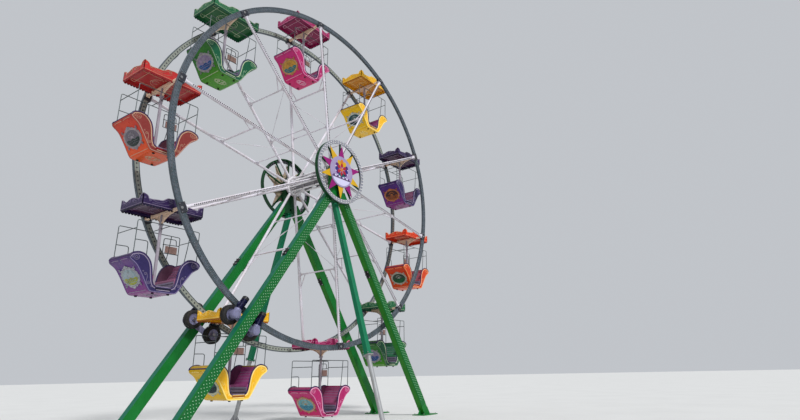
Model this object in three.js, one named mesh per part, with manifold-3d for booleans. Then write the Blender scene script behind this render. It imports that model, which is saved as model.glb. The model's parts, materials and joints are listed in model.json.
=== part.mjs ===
// Ferris wheel with ten hanging gondolas, for a fairground or an amusement park.
// Two box rims on a hub turn between two A-frame towers. Rubber tyres drive the rims.
// Millimetres, +Z up, wheel axle along Y, origin on the ground under the hub.
import * as THREE from 'three';
import { mergeVertices } from 'three/addons/utils/BufferGeometryUtils.js';
import Module from 'manifold-3d';

const wasm = await Module();
wasm.setup();

// Driving dimensions
const wheelRadius = 7000; // to the gondola axles, the middle of the rims
const hubHeight = 9800;
const rimOffset = 1020; // from the middle of the wheel to the middle of a rim
const gondolaCount = 10;
const firstAngle = -43.5; // degrees from the top of the wheel, towards +X
const seatGap = 0.3; // between pieces that touch

const rim = { depth: 200, width: 110, facets: 60, lugWidth: 150, lugLength: 340, lugDepth: 235 };
const pin = { radius: 45, sides: 8, clearance: 0.4, proud: 8 };
const axle = { radius: 150, sides: 24, end: 1544 };
const hub = { apothem: 430, innerFace: 1050, outerFace: 1190, sleeve: 215, cageRadius: 345, cageBar: 60 };
const spoke = { radius: 60, sides: 6, hubOffset: 1120, plate: 20, plateLength: 220 };
const strut = { outer: 3920, inner: 2170, knee: 650, kneeInset: 360, size: 70, innerSize: 44, rod: 22 };

const leg = { width: 340, depth: 260, offset: 1400, lean: 0.6673, crossing: 475, start: 860, splice: 3850 };
const head = { width: 620, above: 330, below: 1250, eye: 50, eyeDrop: 1080 };
const brace = { size: 200, offset: 973, lean: 0.309, flange: 7330 };
const foot = { length: 1100, width: 640, thickness: 40 };

const star = { radius: 1350, faceWidth: 165, faceThickness: 20, hoopDepth: 160, hoopWall: 40, facets: 30 };
const starSpoke = { count: 10, size: 60 };
const ray = { first: 0, tip: 1175, root: 560, halfWidth: 190, thickness: 16, offset: 134 };
const starPlate = { radius: 665, thickness: 24, boss: 260 };

const tyre = { radius: 320, width: 220, rimGap: 6, wheel: 190, bore: 45, angles: [207.6, 214.8] };
const drive = { beamDepth: 200, beamThickness: 60, gearbox: 150, motor: 130, motorEnd: 680 };

const canopy = { halfLength: 1000, halfWidth: 640, wall: 30, deck: 60, deckThickness: 40 };
const fascia = { low: -25, corner: 310, dip: 200, sideHump: 350, endHump: 270, crest: 115, slope: 60 };
const tub = { halfWidth: 600, wall: 30, bottom: -2580, floor: -2520, sill: -2410, tipX: 1130, tipZ: -1640 };
const hanger = { beam: 90, mast: 80, gusset: 64, reach: 690, drop: 330 };
const guard = { bar: 28, top: -510, end: -760, halfLength: 1000, halfWidth: 552, foot: -1501.5 };

const colours = {
  rim: 0x8d8f96, spoke: 0xd9d3da, hub: 0xc9c6c2, leg: 0x1f8a3a, head: 0x14601f, brace: 0x14793d,
  star: 0xb9b7bb, axle: 0x8a8c8e, drive: 0x5c6066, tyre: 0x1b1b1d, hanger: 0xdcd8dc,
  gondolas: [0x2f8a4f, 0xc0397f, 0xe3a81c, 0x5a3f86, 0xdb5a22, 0x2f8a4f, 0xb23079, 0xe3a81c, 0x4c3a72, 0xd0523c],
};

const wheel = new THREE.Group();
const X = new THREE.Vector3(1, 0, 0);
const Y = new THREE.Vector3(0, 1, 0);
const point = (x, y, z) => new THREE.Vector3(x, y, z);

// Joining and cutting
function solid(geometry) {
  const bare = geometry.index ? geometry.toNonIndexed() : geometry.clone();
  bare.deleteAttribute('normal');
  bare.deleteAttribute('uv');
  const merged = mergeVertices(bare, 1e-3);
  return new wasm.Manifold(new wasm.Mesh({
    numProp: 3,
    vertProperties: new Float32Array(merged.attributes.position.array),
    triVerts: new Uint32Array(merged.index.array),
  }));
}

function join(geometries) {
  return geometries.map(solid).reduce((whole, piece) => whole.add(piece));
}

function cut(whole, geometries) {
  return geometries.map(solid).reduce((rest, piece) => rest.subtract(piece), whole);
}

function addNode(name, body, colour, roughness = 0.5, metalness = 0.1) {
  const mesh = body.getMesh();
  const geometry = new THREE.BufferGeometry();
  geometry.setAttribute('position', new THREE.BufferAttribute(new Float32Array(mesh.vertProperties), 3));
  geometry.setIndex(new THREE.BufferAttribute(new Uint32Array(mesh.triVerts), 1));
  geometry.computeVertexNormals();
  const node = new THREE.Mesh(geometry, new THREE.MeshStandardMaterial({ color: colour, roughness, metalness }));
  node.name = name;
  wheel.add(node);
  return node;
}

// Shapes
function block(sizeX, sizeY, sizeZ, x, y, z) {
  return new THREE.BoxGeometry(sizeX, sizeY, sizeZ).translate(x, y, z);
}

// A bar or tube between two points; its local X lies along side
function between(makeShape, from, to, side = Y) {
  const along = to.clone().sub(from);
  const zAxis = along.clone().normalize();
  const xAxis = side.clone().addScaledVector(zAxis, -side.dot(zAxis)).normalize();
  const yAxis = new THREE.Vector3().crossVectors(zAxis, xAxis);
  const place = new THREE.Matrix4().makeBasis(xAxis, yAxis, zAxis);
  place.setPosition(from.clone().addScaledVector(along, 0.5));
  return makeShape(along.length()).applyMatrix4(place);
}

function bar(from, to, width, depth = width, side = Y) {
  return between((length) => new THREE.BoxGeometry(width, depth, length), from, to, side);
}

function rod(from, to, radius, sides, turn = 0) {
  const shape = (length) => new THREE.CylinderGeometry(radius, radius, length, sides)
    .rotateX(Math.PI / 2)
    .rotateZ(turn);
  return between(shape, from, to, X);
}

// A ring about the Y axis with a rectangular section
function ring(outer, inner, yLow, yHigh, facets, startAngle = 0) {
  const profile = [[inner, yLow], [outer, yLow], [outer, yHigh], [inner, yHigh], [inner, yLow]];
  const points = profile.map(([radius, y]) => new THREE.Vector2(radius, y));
  return new THREE.LatheGeometry(points, facets, startAngle);
}

function disc(radius, yLow, yHigh, facets, startAngle = 0) {
  const profile = [[0, yLow], [radius, yLow], [radius, yHigh], [0, yHigh]];
  const points = profile.map(([r, y]) => new THREE.Vector2(r, y));
  return new THREE.LatheGeometry(points, facets, startAngle);
}

// A bore's corners reach further out, so that its flats clear the pin in every position
const boreRadius = (radius, sides) => (radius + pin.clearance) / Math.cos(Math.PI / sides);
const axleBore = (yLow, yHigh) => disc(
  boreRadius(axle.radius, axle.sides), yLow, yHigh, axle.sides, Math.PI / axle.sides);

// An outline in X and Z, given thickness along Y
function sheet(outline, yLow, yHigh) {
  const shape = new THREE.Shape(outline.map(([x, z]) => new THREE.Vector2(x, z)));
  return new THREE.ExtrudeGeometry(shape, { depth: yHigh - yLow, bevelEnabled: false })
    .rotateX(Math.PI / 2)
    .translate(0, yHigh, 0);
}

const radians = (degrees) => degrees * Math.PI / 180;
const gondolaAngle = (index) => radians(firstAngle + index * 360 / gondolaCount);
const onWheel = (radius, angle, y = 0) => point(radius * Math.sin(angle), y, hubHeight + radius * Math.cos(angle));
const atHub = (geometry) => geometry.translate(0, 0, hubHeight);

// A box on the wheel: length across the radius, depth along it
function wheelBlock(length, width, depth, radius, angle, y) {
  return new THREE.BoxGeometry(length, width, depth)
    .translate(0, y, radius)
    .rotateY(angle)
    .translate(0, 0, hubHeight);
}

// Rims: box rings with a bearing lug for each gondola pin
function makeRim(name, side) {
  const outer = wheelRadius + rim.depth / 2;
  const inner = wheelRadius - rim.depth / 2;
  const y = side * rimOffset;
  const hoop = atHub(ring(outer, inner, y - rim.width / 2, y + rim.width / 2, rim.facets, radians(firstAngle)));
  const lugs = [];
  const bores = [];
  const lugOuter = outer - 15;
  for (let index = 0; index < gondolaCount; index += 1) {
    const angle = gondolaAngle(index);
    lugs.push(wheelBlock(rim.lugLength, rim.lugWidth, rim.lugDepth, lugOuter - rim.lugDepth / 2, angle, y));
    bores.push(rod(onWheel(wheelRadius, angle, y - 200), onWheel(wheelRadius, angle, y + 200),
      boreRadius(pin.radius, pin.sides), pin.sides, Math.PI / pin.sides));
  }
  addNode(name, cut(join([hoop, ...lugs]), bores), colours.rim, 0.45, 0.5);
}

// Hub: sleeve on the axle, ten-sided end rings for the spokes, and a cage of bars between them
function makeHub() {
  const endRadius = hub.apothem / Math.cos(Math.PI / gondolaCount);
  const start = radians(firstAngle + 180 / gondolaCount);
  const pieces = [disc(hub.sleeve, -hub.outerFace, hub.outerFace, 16)];
  for (const side of [-1, 1]) {
    const low = Math.min(side * hub.innerFace, side * hub.outerFace);
    pieces.push(disc(endRadius, low, low + hub.outerFace - hub.innerFace, gondolaCount, start));
    pieces.push(disc(hub.cageRadius + 25, side * 360 - 12, side * 360 + 12, gondolaCount, start));
  }
  for (let index = 0; index < gondolaCount; index += 1) {
    pieces.push(new THREE.BoxGeometry(hub.cageBar, 2 * hub.innerFace + 20, hub.cageBar)
      .translate(0, 0, hub.cageRadius)
      .rotateY(gondolaAngle(index)));
  }
  const bore = axleBore(-hub.outerFace - 10, hub.outerFace + 10);
  addNode('hub', cut(join(pieces.map(atHub)), [atHub(bore)]), colours.hub, 0.5, 0.3);
}

// One pair of spokes with its struts, knees and tie rod
function makeSpokePair(index) {
  const angle = gondolaAngle(index);
  const lugInner = wheelRadius + rim.depth / 2 - 15 - rim.lugDepth;
  const rimEnd = lugInner - seatGap;
  const hubEnd = hub.apothem + seatGap;
  const spokeY = (radius) => {
    const share = (radius - hubEnd) / (rimEnd - hubEnd);
    return spoke.hubOffset + share * (rimOffset - spoke.hubOffset);
  };
  const pieces = [];
  for (const side of [-1, 1]) {
    const tube = rod(onWheel(hubEnd + 5, angle, side * spokeY(hubEnd)),
      onWheel(rimEnd - 5, angle, side * rimOffset), spoke.radius, spoke.sides, Math.PI / spoke.sides);
    const plateLength = spoke.plateLength;
    pieces.push(tube);
    pieces.push(wheelBlock(plateLength, 130, spoke.plate, rimEnd - spoke.plate / 2, angle, side * rimOffset));
    pieces.push(wheelBlock(plateLength, 130, spoke.plate, hubEnd + spoke.plate / 2, angle, side * spoke.hubOffset));
    const kneeRoot = onWheel(strut.outer, angle, side * (spokeY(strut.outer) - strut.kneeInset));
    const kneeTip = onWheel(strut.outer + strut.knee, angle, side * spokeY(strut.outer + strut.knee));
    pieces.push(bar(kneeRoot, kneeTip, strut.innerSize));
  }
  for (const [radius, size] of [[strut.outer, strut.size], [strut.inner, strut.innerSize]]) {
    pieces.push(bar(onWheel(radius, angle, -spokeY(radius)), onWheel(radius, angle, spokeY(radius)), size, size, X));
  }
  const rodSide = index % 2 === 0 ? -1 : 1;
  pieces.push(bar(onWheel(strut.outer, angle, rodSide * spokeY(strut.outer)),
    onWheel(strut.inner, angle, -rodSide * spokeY(strut.inner)), strut.rod));
  addNode(`spoke_pair_${index + 1}`, join(pieces), colours.spoke, 0.4, 0.2);
}

// Towers: a head round the axle, two box legs and one brace on each side of the wheel
const legX = (depth) => leg.lean * (depth - leg.crossing);
const braceY = (depth) => brace.offset + brace.lean * depth;

function headBlock(side, grow = 0) {
  const height = head.above + head.below + 2 * grow;
  const middle = hubHeight + (head.above - head.below) / 2;
  return block(head.width + 2 * grow, leg.depth + 2 * grow, height, 0, side * leg.offset, middle);
}

function makeHead(name, side) {
  const low = side * leg.offset - leg.depth;
  const bore = axleBore(low, low + 2 * leg.depth);
  const eye = disc(head.eye, low, low + 2 * leg.depth, 12).translate(0, 0, -head.eyeDrop);
  addNode(name, cut(solid(headBlock(side)), [atHub(bore), atHub(eye)]), colours.head, 0.4, 0.2);
}

const belowGround = () => block(20000, 20000, 4000, 0, 0, -2000);

function makeLeg(name, sideX, side) {
  const y = side * leg.offset;
  const at = (depth) => point(sideX * legX(depth), y, hubHeight - depth);
  const box = bar(at(leg.start), at(hubHeight + 400), leg.depth, leg.width);
  const collar = bar(at(leg.splice - 60), at(leg.splice + 60), leg.depth - 40, leg.width + 50);
  const plate = block(foot.length, foot.width, foot.thickness, sideX * legX(hubHeight), y, foot.thickness / 2);
  addNode(name, cut(join([box, collar, plate]), [headBlock(side, seatGap), belowGround()]), colours.leg, 0.35, 0.2);
}

function makeBrace(name, side) {
  const at = (depth) => point(0, side * braceY(depth), hubHeight - depth);
  const post = bar(at(head.below - 200), at(hubHeight + 200), brace.size, brace.size, X);
  const flange = bar(at(brace.flange - 30), at(brace.flange + 30), brace.size + 80, brace.size + 80, X);
  const plate = block(foot.width, foot.width, foot.thickness, 0, side * braceY(hubHeight), foot.thickness / 2);
  const aboveHead = block(2000, 4000, 2000, 0, side * leg.offset, hubHeight - head.below - seatGap + 1000);
  addNode(name, cut(join([post, flange, plate]), [aboveHead, belowGround()]), colours.brace, 0.4, 0.2);
}

function makeAxle() {
  addNode('axle', solid(atHub(disc(axle.radius, -axle.end, axle.end, axle.sides))), colours.axle, 0.4, 0.7);
}

// Star disc: face ring, hoop behind it, spokes at the back, rays and the round plate at the front
function makeStar(name, side) {
  const span = (low, high) => (side < 0 ? [-high, -low] : [low, high]);
  const back = axle.end + seatGap;
  const hoopEnd = back + star.hoopDepth;
  const faceEnd = hoopEnd + star.faceThickness;
  const spokeMiddle = back + starSpoke.size / 2;
  const rayLow = back + ray.offset;
  const rayHigh = rayLow + ray.thickness;
  const pieces = [
    ring(star.radius, star.radius - star.hoopWall, ...span(back, hoopEnd + 1), star.facets),
    ring(star.radius, star.radius - star.faceWidth, ...span(hoopEnd, faceEnd), star.facets),
    disc(starPlate.boss, ...span(back, rayHigh), 20),
    disc(starPlate.radius, ...span(rayHigh - 2, rayHigh + starPlate.thickness), star.facets),
  ];
  for (let index = 0; index < starSpoke.count; index += 1) {
    const angle = radians(ray.first + index * 360 / starSpoke.count);
    const length = star.radius - 10;
    pieces.push(new THREE.BoxGeometry(starSpoke.size, starSpoke.size, length)
      .translate(0, side * spokeMiddle, length / 2)
      .rotateY(angle));
    const triangle = [[-ray.halfWidth, ray.root], [ray.halfWidth, ray.root], [0, ray.tip]];
    pieces.push(sheet(triangle, ...span(rayLow, rayHigh)).rotateY(angle));
  }
  addNode(name, join(pieces.map(atHub)), colours.star, 0.45, 0.3);
}

// Drive: each tower carries a beam across its left leg with two gear motors, one for each tyre
const tyreRadius = wheelRadius + rim.depth / 2 + tyre.rimGap + tyre.radius;
const tyreCentre = (angle, y) => onWheel(tyreRadius, radians(angle), y);

function makeDrive(name, side) {
  const inner = rimOffset + tyre.width / 2 + 15;
  const seat = leg.offset - leg.depth / 2 - seatGap;
  const beamY = side * (seat - drive.beamThickness / 2);
  const ends = tyre.angles.map((angle) => tyreCentre(angle, beamY));
  const pieces = [bar(ends[0], ends[1], drive.beamThickness, drive.beamDepth)];
  for (const angle of tyre.angles) {
    const turn = radians(angle);
    const outerY = seat + drive.gearbox;
    pieces.push(rod(tyreCentre(angle, side * inner), tyreCentre(angle, side * outerY), drive.gearbox, 12));
    const motorY = side * (outerY - drive.motor - 15);
    pieces.push(rod(onWheel(tyreRadius - 60, turn, motorY),
      onWheel(tyreRadius - drive.motorEnd, turn, motorY), drive.motor, 12));
    pieces.push(rod(tyreCentre(angle, side * (inner + 20)),
      tyreCentre(angle, side * (rimOffset - tyre.width / 2 - 20)), tyre.bore, pin.sides));
  }
  const legX0 = (depth) => -legX(depth);
  const y = side * leg.offset;
  const keepOut = bar(point(legX0(4000), y, hubHeight - 4000), point(legX0(9000), y, hubHeight - 9000),
    leg.depth + 2 * seatGap, leg.width + 10);
  addNode(name, cut(join(pieces), [keepOut]), colours.drive, 0.5, 0.5);
}

function makeTyre(name, angle, side) {
  const y = side * rimOffset;
  const half = tyre.width / 2;
  const profile = [[0, -half + 25], [tyre.wheel, -half + 25], [tyre.wheel, -half], [tyre.radius - 25, -half],
    [tyre.radius, -half + 35], [tyre.radius, half - 35], [tyre.radius - 25, half], [tyre.wheel, half],
    [tyre.wheel, half - 25], [0, half - 25]];
  const points = profile.map(([radius, offset]) => new THREE.Vector2(radius, offset));
  const centre = tyreCentre(angle, y);
  const body = new THREE.LatheGeometry(points, 20).translate(centre.x, centre.y, centre.z);
  const bore = rod(tyreCentre(angle, y - 300), tyreCentre(angle, y + 300),
    boreRadius(tyre.bore, pin.sides), pin.sides, Math.PI / pin.sides);
  addNode(name, cut(solid(body), [bore]), colours.tyre, 0.85, 0);
}

// Gondolas. Each is made round its own axle, in X, Y and Z, and then moved to its place on the wheel
function moved(body, index) {
  const centre = onWheel(wheelRadius, gondolaAngle(index));
  return body.translate([centre.x, centre.y, centre.z]);
}

function wave(from, to, heightFrom, heightTo, steps) {
  const points = [];
  for (let step = 1; step <= steps; step += 1) {
    const share = step / steps;
    const eased = (1 - Math.cos(Math.PI * share)) / 2;
    points.push([from + (to - from) * share, heightFrom + (heightTo - heightFrom) * eased]);
  }
  return points;
}

// Canopy side outline: a crest at each corner, a dip beside it and a hump in the middle
function fasciaOutline(half, hump) {
  const { low, corner, dip, crest, slope } = fascia;
  const shoulder = half - crest;
  const right = [
    ...wave(0, shoulder - slope, hump, dip, 3),
    ...wave(shoulder - slope, shoulder, dip, corner, 2),
    [half, corner],
  ];
  const left = right.map(([x, z]) => [-x, z]);
  return [[-half, low], [half, low], ...right.reverse(), [0, hump], ...left];
}

function makeCanopy(index) {
  const { halfLength, halfWidth, wall } = canopy;
  const pieces = [block(2 * halfLength - 10, 2 * halfWidth - 10, canopy.deckThickness,
    0, 0, canopy.deck + canopy.deckThickness / 2)];
  for (const side of [-1, 1]) {
    const low = side < 0 ? -halfWidth : halfWidth - wall;
    pieces.push(sheet(fasciaOutline(halfLength, fascia.sideHump), low, low + wall));
    pieces.push(sheet(fasciaOutline(halfWidth - wall / 2, fascia.endHump), -wall / 2, wall / 2)
      .rotateZ(Math.PI / 2)
      .translate(side * (halfLength - wall / 2), 0, 0));
  }
  const size = hanger.beam + 2 * seatGap;
  const slot = block(size, 3 * halfWidth, size + 100, 0, 0, -50);
  addNode(`gondola_${index + 1}_canopy`, moved(cut(join(pieces), [slot]), index), colours.gondolas[index], 0.45);
}

// Tub side outline: two flared wings with a low entrance between them
function tubOutline() {
  const wing = [[400, tub.bottom], [505, -2440], [660, -2180], [870, -1855], [tub.tipX, tub.tipZ],
    [1010, -1510], [860, -1460], [640, -1520], [500, -1660], [420, -1860], [370, -2160], [270, tub.sill]];
  const other = wing.map(([x, z]) => [-x, z]).reverse();
  return [...wing, ...other];
}

function makeTub(index) {
  const half = tub.halfWidth;
  const backs = [[370, tub.floor], [462, -2390], [618, -2140], [800, -1840], [905, -1640], [905, -1280]];
  const room = [...backs, ...backs.map(([x, z]) => [-x, z]).reverse()];
  const inside = sheet(room, -half + tub.wall, half - tub.wall);
  let body = cut(solid(sheet(tubOutline(), -half, half)), [inside]);
  const benchEnd = half - 10;
  for (const side of [-1, 1]) {
    const seat = [[side * 330, -2160], [side * 640, -2160], [side * 690, -2100], [side * 330, -2100]];
    body = body.add(solid(sheet(seat, -benchEnd, benchEnd)));
    body = body.add(solid(block(40, 2 * benchEnd, 420, side * 340, 0, -2320)));
  }
  const column = hanger.mast + 2 * seatGap;
  body = body.subtract(solid(block(column, column, 3000, 0, 0, tub.floor + seatGap + 1500)));
  addNode(`gondola_${index + 1}_tub`, moved(body, index), colours.gondolas[index], 0.4);
}

// Hanger: beam between the rims with its pins, curved gusset, mast to the tub floor, and the guard frame
function makeHanger(index) {
  const beamEnd = rimOffset - rim.lugWidth / 2 - 7;
  const pinEnd = rimOffset + rim.lugWidth / 2 + pin.proud;
  const floor = tub.floor + seatGap;
  const beamLow = 5 - hanger.beam / 2;
  const { reach, drop } = hanger;
  const { bar: size, halfLength, halfWidth, top } = guard;
  const curve = [[reach, beamLow], [reach * 0.55, -drop / 3], [reach * 0.22, -drop * 0.64], [38, -drop]];
  const gusset = [...curve, ...curve.map(([y, z]) => [-y, z]).reverse()];
  const pieces = [
    block(hanger.beam, 2 * beamEnd, hanger.beam, 0, 0, 0),
    rod(point(0, -pinEnd, 0), point(0, pinEnd, 0), pin.radius, pin.sides),
    block(hanger.mast, hanger.mast, -floor, 0, 0, floor / 2),
    sheet(gusset, -hanger.gusset / 2, hanger.gusset / 2).rotateZ(Math.PI / 2),
    bar(point(0, -halfWidth, top), point(0, halfWidth, top), size, size, X),
  ];
  for (const side of [-1, 1]) {
    const y = side * halfWidth;
    pieces.push(bar(point(-halfLength, y, top), point(halfLength, y, top), size));
    for (const x of [-halfLength, halfLength]) {
      pieces.push(bar(point(x, y, top + size / 2), point(x, y, guard.foot), size));
    }
  }
  const endReach = halfWidth + size / 2;
  for (const x of [-halfLength, halfLength]) {
    pieces.push(bar(point(x, -endReach, guard.end), point(x, endReach, guard.end), size, size, X));
  }
  addNode(`gondola_${index + 1}_hanger`, moved(join(pieces), index), colours.hanger, 0.4, 0.2);
}

makeAxle();
for (const [word, side] of [['near', -1], ['far', 1]]) {
  makeHead(`head_${word}`, side);
  makeLeg(`leg_${word}_left`, -1, side);
  makeLeg(`leg_${word}_right`, 1, side);
  makeBrace(`brace_${word}`, side);
  makeStar(`star_${word}`, side);
  makeDrive(`drive_${word}`, side);
  makeRim(`rim_${word}`, side);
  tyre.angles.forEach((angle, number) => makeTyre(`tyre_${word}_${number + 1}`, angle, side));
}
makeHub();
for (let index = 0; index < gondolaCount; index += 1) {
  makeSpokePair(index);
  makeCanopy(index);
  makeTub(index);
  makeHanger(index);
}

export default wheel;
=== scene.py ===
import json
from itertools import product
from math import atan2, cos, pi, radians, sin

import bmesh
import bpy
from mathutils import Matrix, Vector

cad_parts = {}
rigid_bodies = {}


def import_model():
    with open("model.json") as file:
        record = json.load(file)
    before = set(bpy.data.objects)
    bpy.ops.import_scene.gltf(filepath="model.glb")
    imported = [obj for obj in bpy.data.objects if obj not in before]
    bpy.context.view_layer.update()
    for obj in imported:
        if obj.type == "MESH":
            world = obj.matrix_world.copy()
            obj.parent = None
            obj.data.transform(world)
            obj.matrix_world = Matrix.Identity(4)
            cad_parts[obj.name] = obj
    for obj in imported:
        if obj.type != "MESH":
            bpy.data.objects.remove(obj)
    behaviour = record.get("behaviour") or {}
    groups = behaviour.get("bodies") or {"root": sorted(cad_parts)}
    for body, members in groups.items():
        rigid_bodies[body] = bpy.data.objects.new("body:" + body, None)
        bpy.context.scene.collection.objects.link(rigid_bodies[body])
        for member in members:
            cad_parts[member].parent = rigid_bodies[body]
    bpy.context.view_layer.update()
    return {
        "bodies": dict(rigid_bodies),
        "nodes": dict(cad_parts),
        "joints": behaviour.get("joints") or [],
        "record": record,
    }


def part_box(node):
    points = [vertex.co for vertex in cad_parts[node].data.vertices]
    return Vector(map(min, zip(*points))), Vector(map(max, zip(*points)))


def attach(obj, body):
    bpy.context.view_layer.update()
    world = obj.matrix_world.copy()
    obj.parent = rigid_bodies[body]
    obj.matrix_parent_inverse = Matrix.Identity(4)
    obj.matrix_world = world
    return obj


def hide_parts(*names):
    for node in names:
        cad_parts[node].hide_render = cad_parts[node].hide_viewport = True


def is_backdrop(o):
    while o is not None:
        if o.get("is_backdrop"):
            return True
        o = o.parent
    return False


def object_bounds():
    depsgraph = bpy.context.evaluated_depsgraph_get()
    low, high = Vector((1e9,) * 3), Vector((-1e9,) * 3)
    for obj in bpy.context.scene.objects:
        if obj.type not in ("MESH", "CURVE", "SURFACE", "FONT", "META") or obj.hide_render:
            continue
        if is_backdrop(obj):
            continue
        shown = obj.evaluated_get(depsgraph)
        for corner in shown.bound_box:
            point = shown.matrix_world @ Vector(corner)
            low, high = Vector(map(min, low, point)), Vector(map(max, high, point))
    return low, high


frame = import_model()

# Places that the frame gives, in metres
joints = {joint["name"]: joint for joint in frame["joints"]}
gondolaCount = 10
numbers = range(1, gondolaCount + 1)
hub = Vector(joints["wheel_spin"]["pos_m"])
axles = [Vector(joints[f"gondola_{number}_swing"]["pos_m"]) for number in numbers]
wheelRadius = (axles[0] - hub).length
spokeAngles = [atan2(axle.x - hub.x, axle.z - hub.z) for axle in axles]
sides = {"near": -1, "far": 1}


def onWheel(radius, angle, y=0.0):
    return hub + Vector((radius * sin(angle), y, radius * cos(angle)))


# Turns a shape made upright over the hub to its angle on the wheel
def turned(angle):
    return Matrix.Translation(hub) @ Matrix.Rotation(angle, 4, "Y")


# Node trees, for materials and for geometry
def addNode(tree, kind, inputs=None, **settings):
    node = tree.nodes.new(kind)
    for key, value in settings.items():
        setattr(node, key, value)
    for socket, source in (inputs or {}).items():
        if isinstance(source, bpy.types.NodeSocket):
            tree.links.new(source, node.inputs[socket])
        else:
            node.inputs[socket].default_value = source
    return node


# A shade of red, green and blue from 0 to 255 as a linear colour
def tone(shade):
    shares = [value / 255 for value in shade]
    linear = [share / 12.92 if share <= 0.04045 else ((share + 0.055) / 1.055) ** 2.4 for share in shares]
    return (*linear, 1.0)


def mixColours(tree, factor, first, second):
    node = addNode(tree, "ShaderNodeMix", data_type="RGBA")
    for index, source in ((0, factor), (6, first), (7, second)):
        if isinstance(source, bpy.types.NodeSocket):
            tree.links.new(source, node.inputs[index])
        else:
            node.inputs[index].default_value = source
    return node.outputs[2]


def mapRange(tree, source, low, high, outLow=0.0, outHigh=1.0):
    inputs = {"Value": source, "From Min": low, "From Max": high, "To Min": outLow, "To Max": outHigh}
    return addNode(tree, "ShaderNodeMapRange", inputs).outputs["Result"]


# One value times a factor, plus another
def addScaled(tree, value, factor, other):
    inputs = {0: value, 1: factor, 2: other}
    return addNode(tree, "ShaderNodeMath", inputs, operation="MULTIPLY_ADD").outputs[0]


def noiseOver(tree, space, size, detail=4.0, stretch=None):
    if stretch:
        space = addNode(tree, "ShaderNodeMapping", {"Vector": space, "Scale": stretch}).outputs["Vector"]
    inputs = {"Vector": space, "Scale": 1 / size, "Detail": detail, "Roughness": 0.6}
    return addNode(tree, "ShaderNodeTexNoise", inputs).outputs["Fac"]


# A painted, rusted, moulded or rubber surface. Sizes are in metres, amounts from 0 to 1:
# blotch is cloudy fading, streak is dirt that ran down, chip is small bare or dirty spots,
# bands are three shades over a piece's own height, edge is sprayed where the edge attribute is 1.
# A span is the part of the noise over which blotch, streak, edge or roughness goes from none to full.
standardLook = {
    "blotchSize": 0.5, "blotchAmount": 0.5, "streak": (96, 84, 70), "streakSize": 0.09, "streakAmount": 0.4,
    "chip": (120, 112, 104), "chipSize": 0.03, "chipFrom": 0.66, "rough": (0.3, 0.5), "grainSize": 0.012,
    "bump": 0.25, "bumpDepth": 0.002, "metal": 0.0, "coat": 0.0, "coatRough": 0.12, "specular": 0.22,
    "bandHeights": (-2.42, -1.42), "bandStops": (0.0, 0.45, 1.0), "bandCloud": 0.35, "bandWobble": 0.16,
    "edgeCloud": 0.12, "edgeWobble": 0.5, "edgeSpan": (0.35, 1.15), "blotchSpan": (0.4, 0.75),
    "streakSpan": (0.52, 0.8), "roughSpan": (0.35, 0.7), "chipSoft": 0.03, "chipDepth": -0.6}


def makeFinish(name, look):
    look = {**standardLook, **look}
    material = bpy.data.materials.new(name)
    material.use_nodes = True
    tree = material.node_tree
    tree.nodes.clear()
    space = addNode(tree, "ShaderNodeTexCoord").outputs["Object"]
    colour = tone(look["colour"])
    if "bands" in look:
        place = addNode(tree, "ShaderNodeAttribute", attribute_name="place").outputs["Vector"]
        height = addNode(tree, "ShaderNodeSeparateXYZ", {"Vector": place}).outputs["Z"]
        cloud = noiseOver(tree, space, look["bandCloud"], 2.0)
        wobble = addScaled(tree, cloud, look["bandWobble"], height)
        ramp = addNode(tree, "ShaderNodeValToRGB", {"Fac": mapRange(tree, wobble, *look["bandHeights"])})
        stops = ramp.color_ramp.elements
        stops.new(0.5)
        for stop, position, shade in zip(stops, look["bandStops"], look["bands"]):
            stop.position = position
            stop.color = tone(shade)
        colour = ramp.outputs["Color"]
    if "edge" in look:
        edge = addNode(tree, "ShaderNodeAttribute", attribute_name="edge").outputs["Fac"]
        cloud = noiseOver(tree, space, look["edgeCloud"], 3.0)
        spray = mapRange(tree, addScaled(tree, cloud, look["edgeWobble"], edge), *look["edgeSpan"])
        colour = mixColours(tree, spray, colour, tone(look["edge"]))
    cloud = noiseOver(tree, space, look["blotchSize"])
    faded = mapRange(tree, cloud, *look["blotchSpan"], 0.0, look["blotchAmount"])
    colour = mixColours(tree, faded, colour, tone(look["blotch"]))
    run = noiseOver(tree, space, look["streakSize"], 5.0, (1.0, 1.0, 0.1))
    dirty = mapRange(tree, run, *look["streakSpan"], 0.0, look["streakAmount"])
    colour = mixColours(tree, dirty, colour, tone(look["streak"]))
    speck = noiseOver(tree, space, look["chipSize"], 6.0)
    chips = mapRange(tree, speck, look["chipFrom"], look["chipFrom"] + look["chipSoft"])
    colour = mixColours(tree, chips, colour, tone(look["chip"]))
    rough = mapRange(tree, run, *look["roughSpan"], *look["rough"])
    grain = noiseOver(tree, space, look["grainSize"], 3.0)
    relief = addScaled(tree, chips, look["chipDepth"], grain)
    bump = addNode(tree, "ShaderNodeBump", {
        "Height": relief, "Strength": look["bump"], "Distance": look["bumpDepth"]})
    shader = addNode(tree, "ShaderNodeBsdfPrincipled", {
        "Base Color": colour, "Roughness": rough, "Normal": bump.outputs["Normal"], "Metallic": look["metal"],
        "Coat Weight": look["coat"], "Coat Roughness": look["coatRough"],
        "Specular IOR Level": look["specular"]})
    addNode(tree, "ShaderNodeOutputMaterial", {"Surface": shader.outputs["BSDF"]})
    return material


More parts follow.
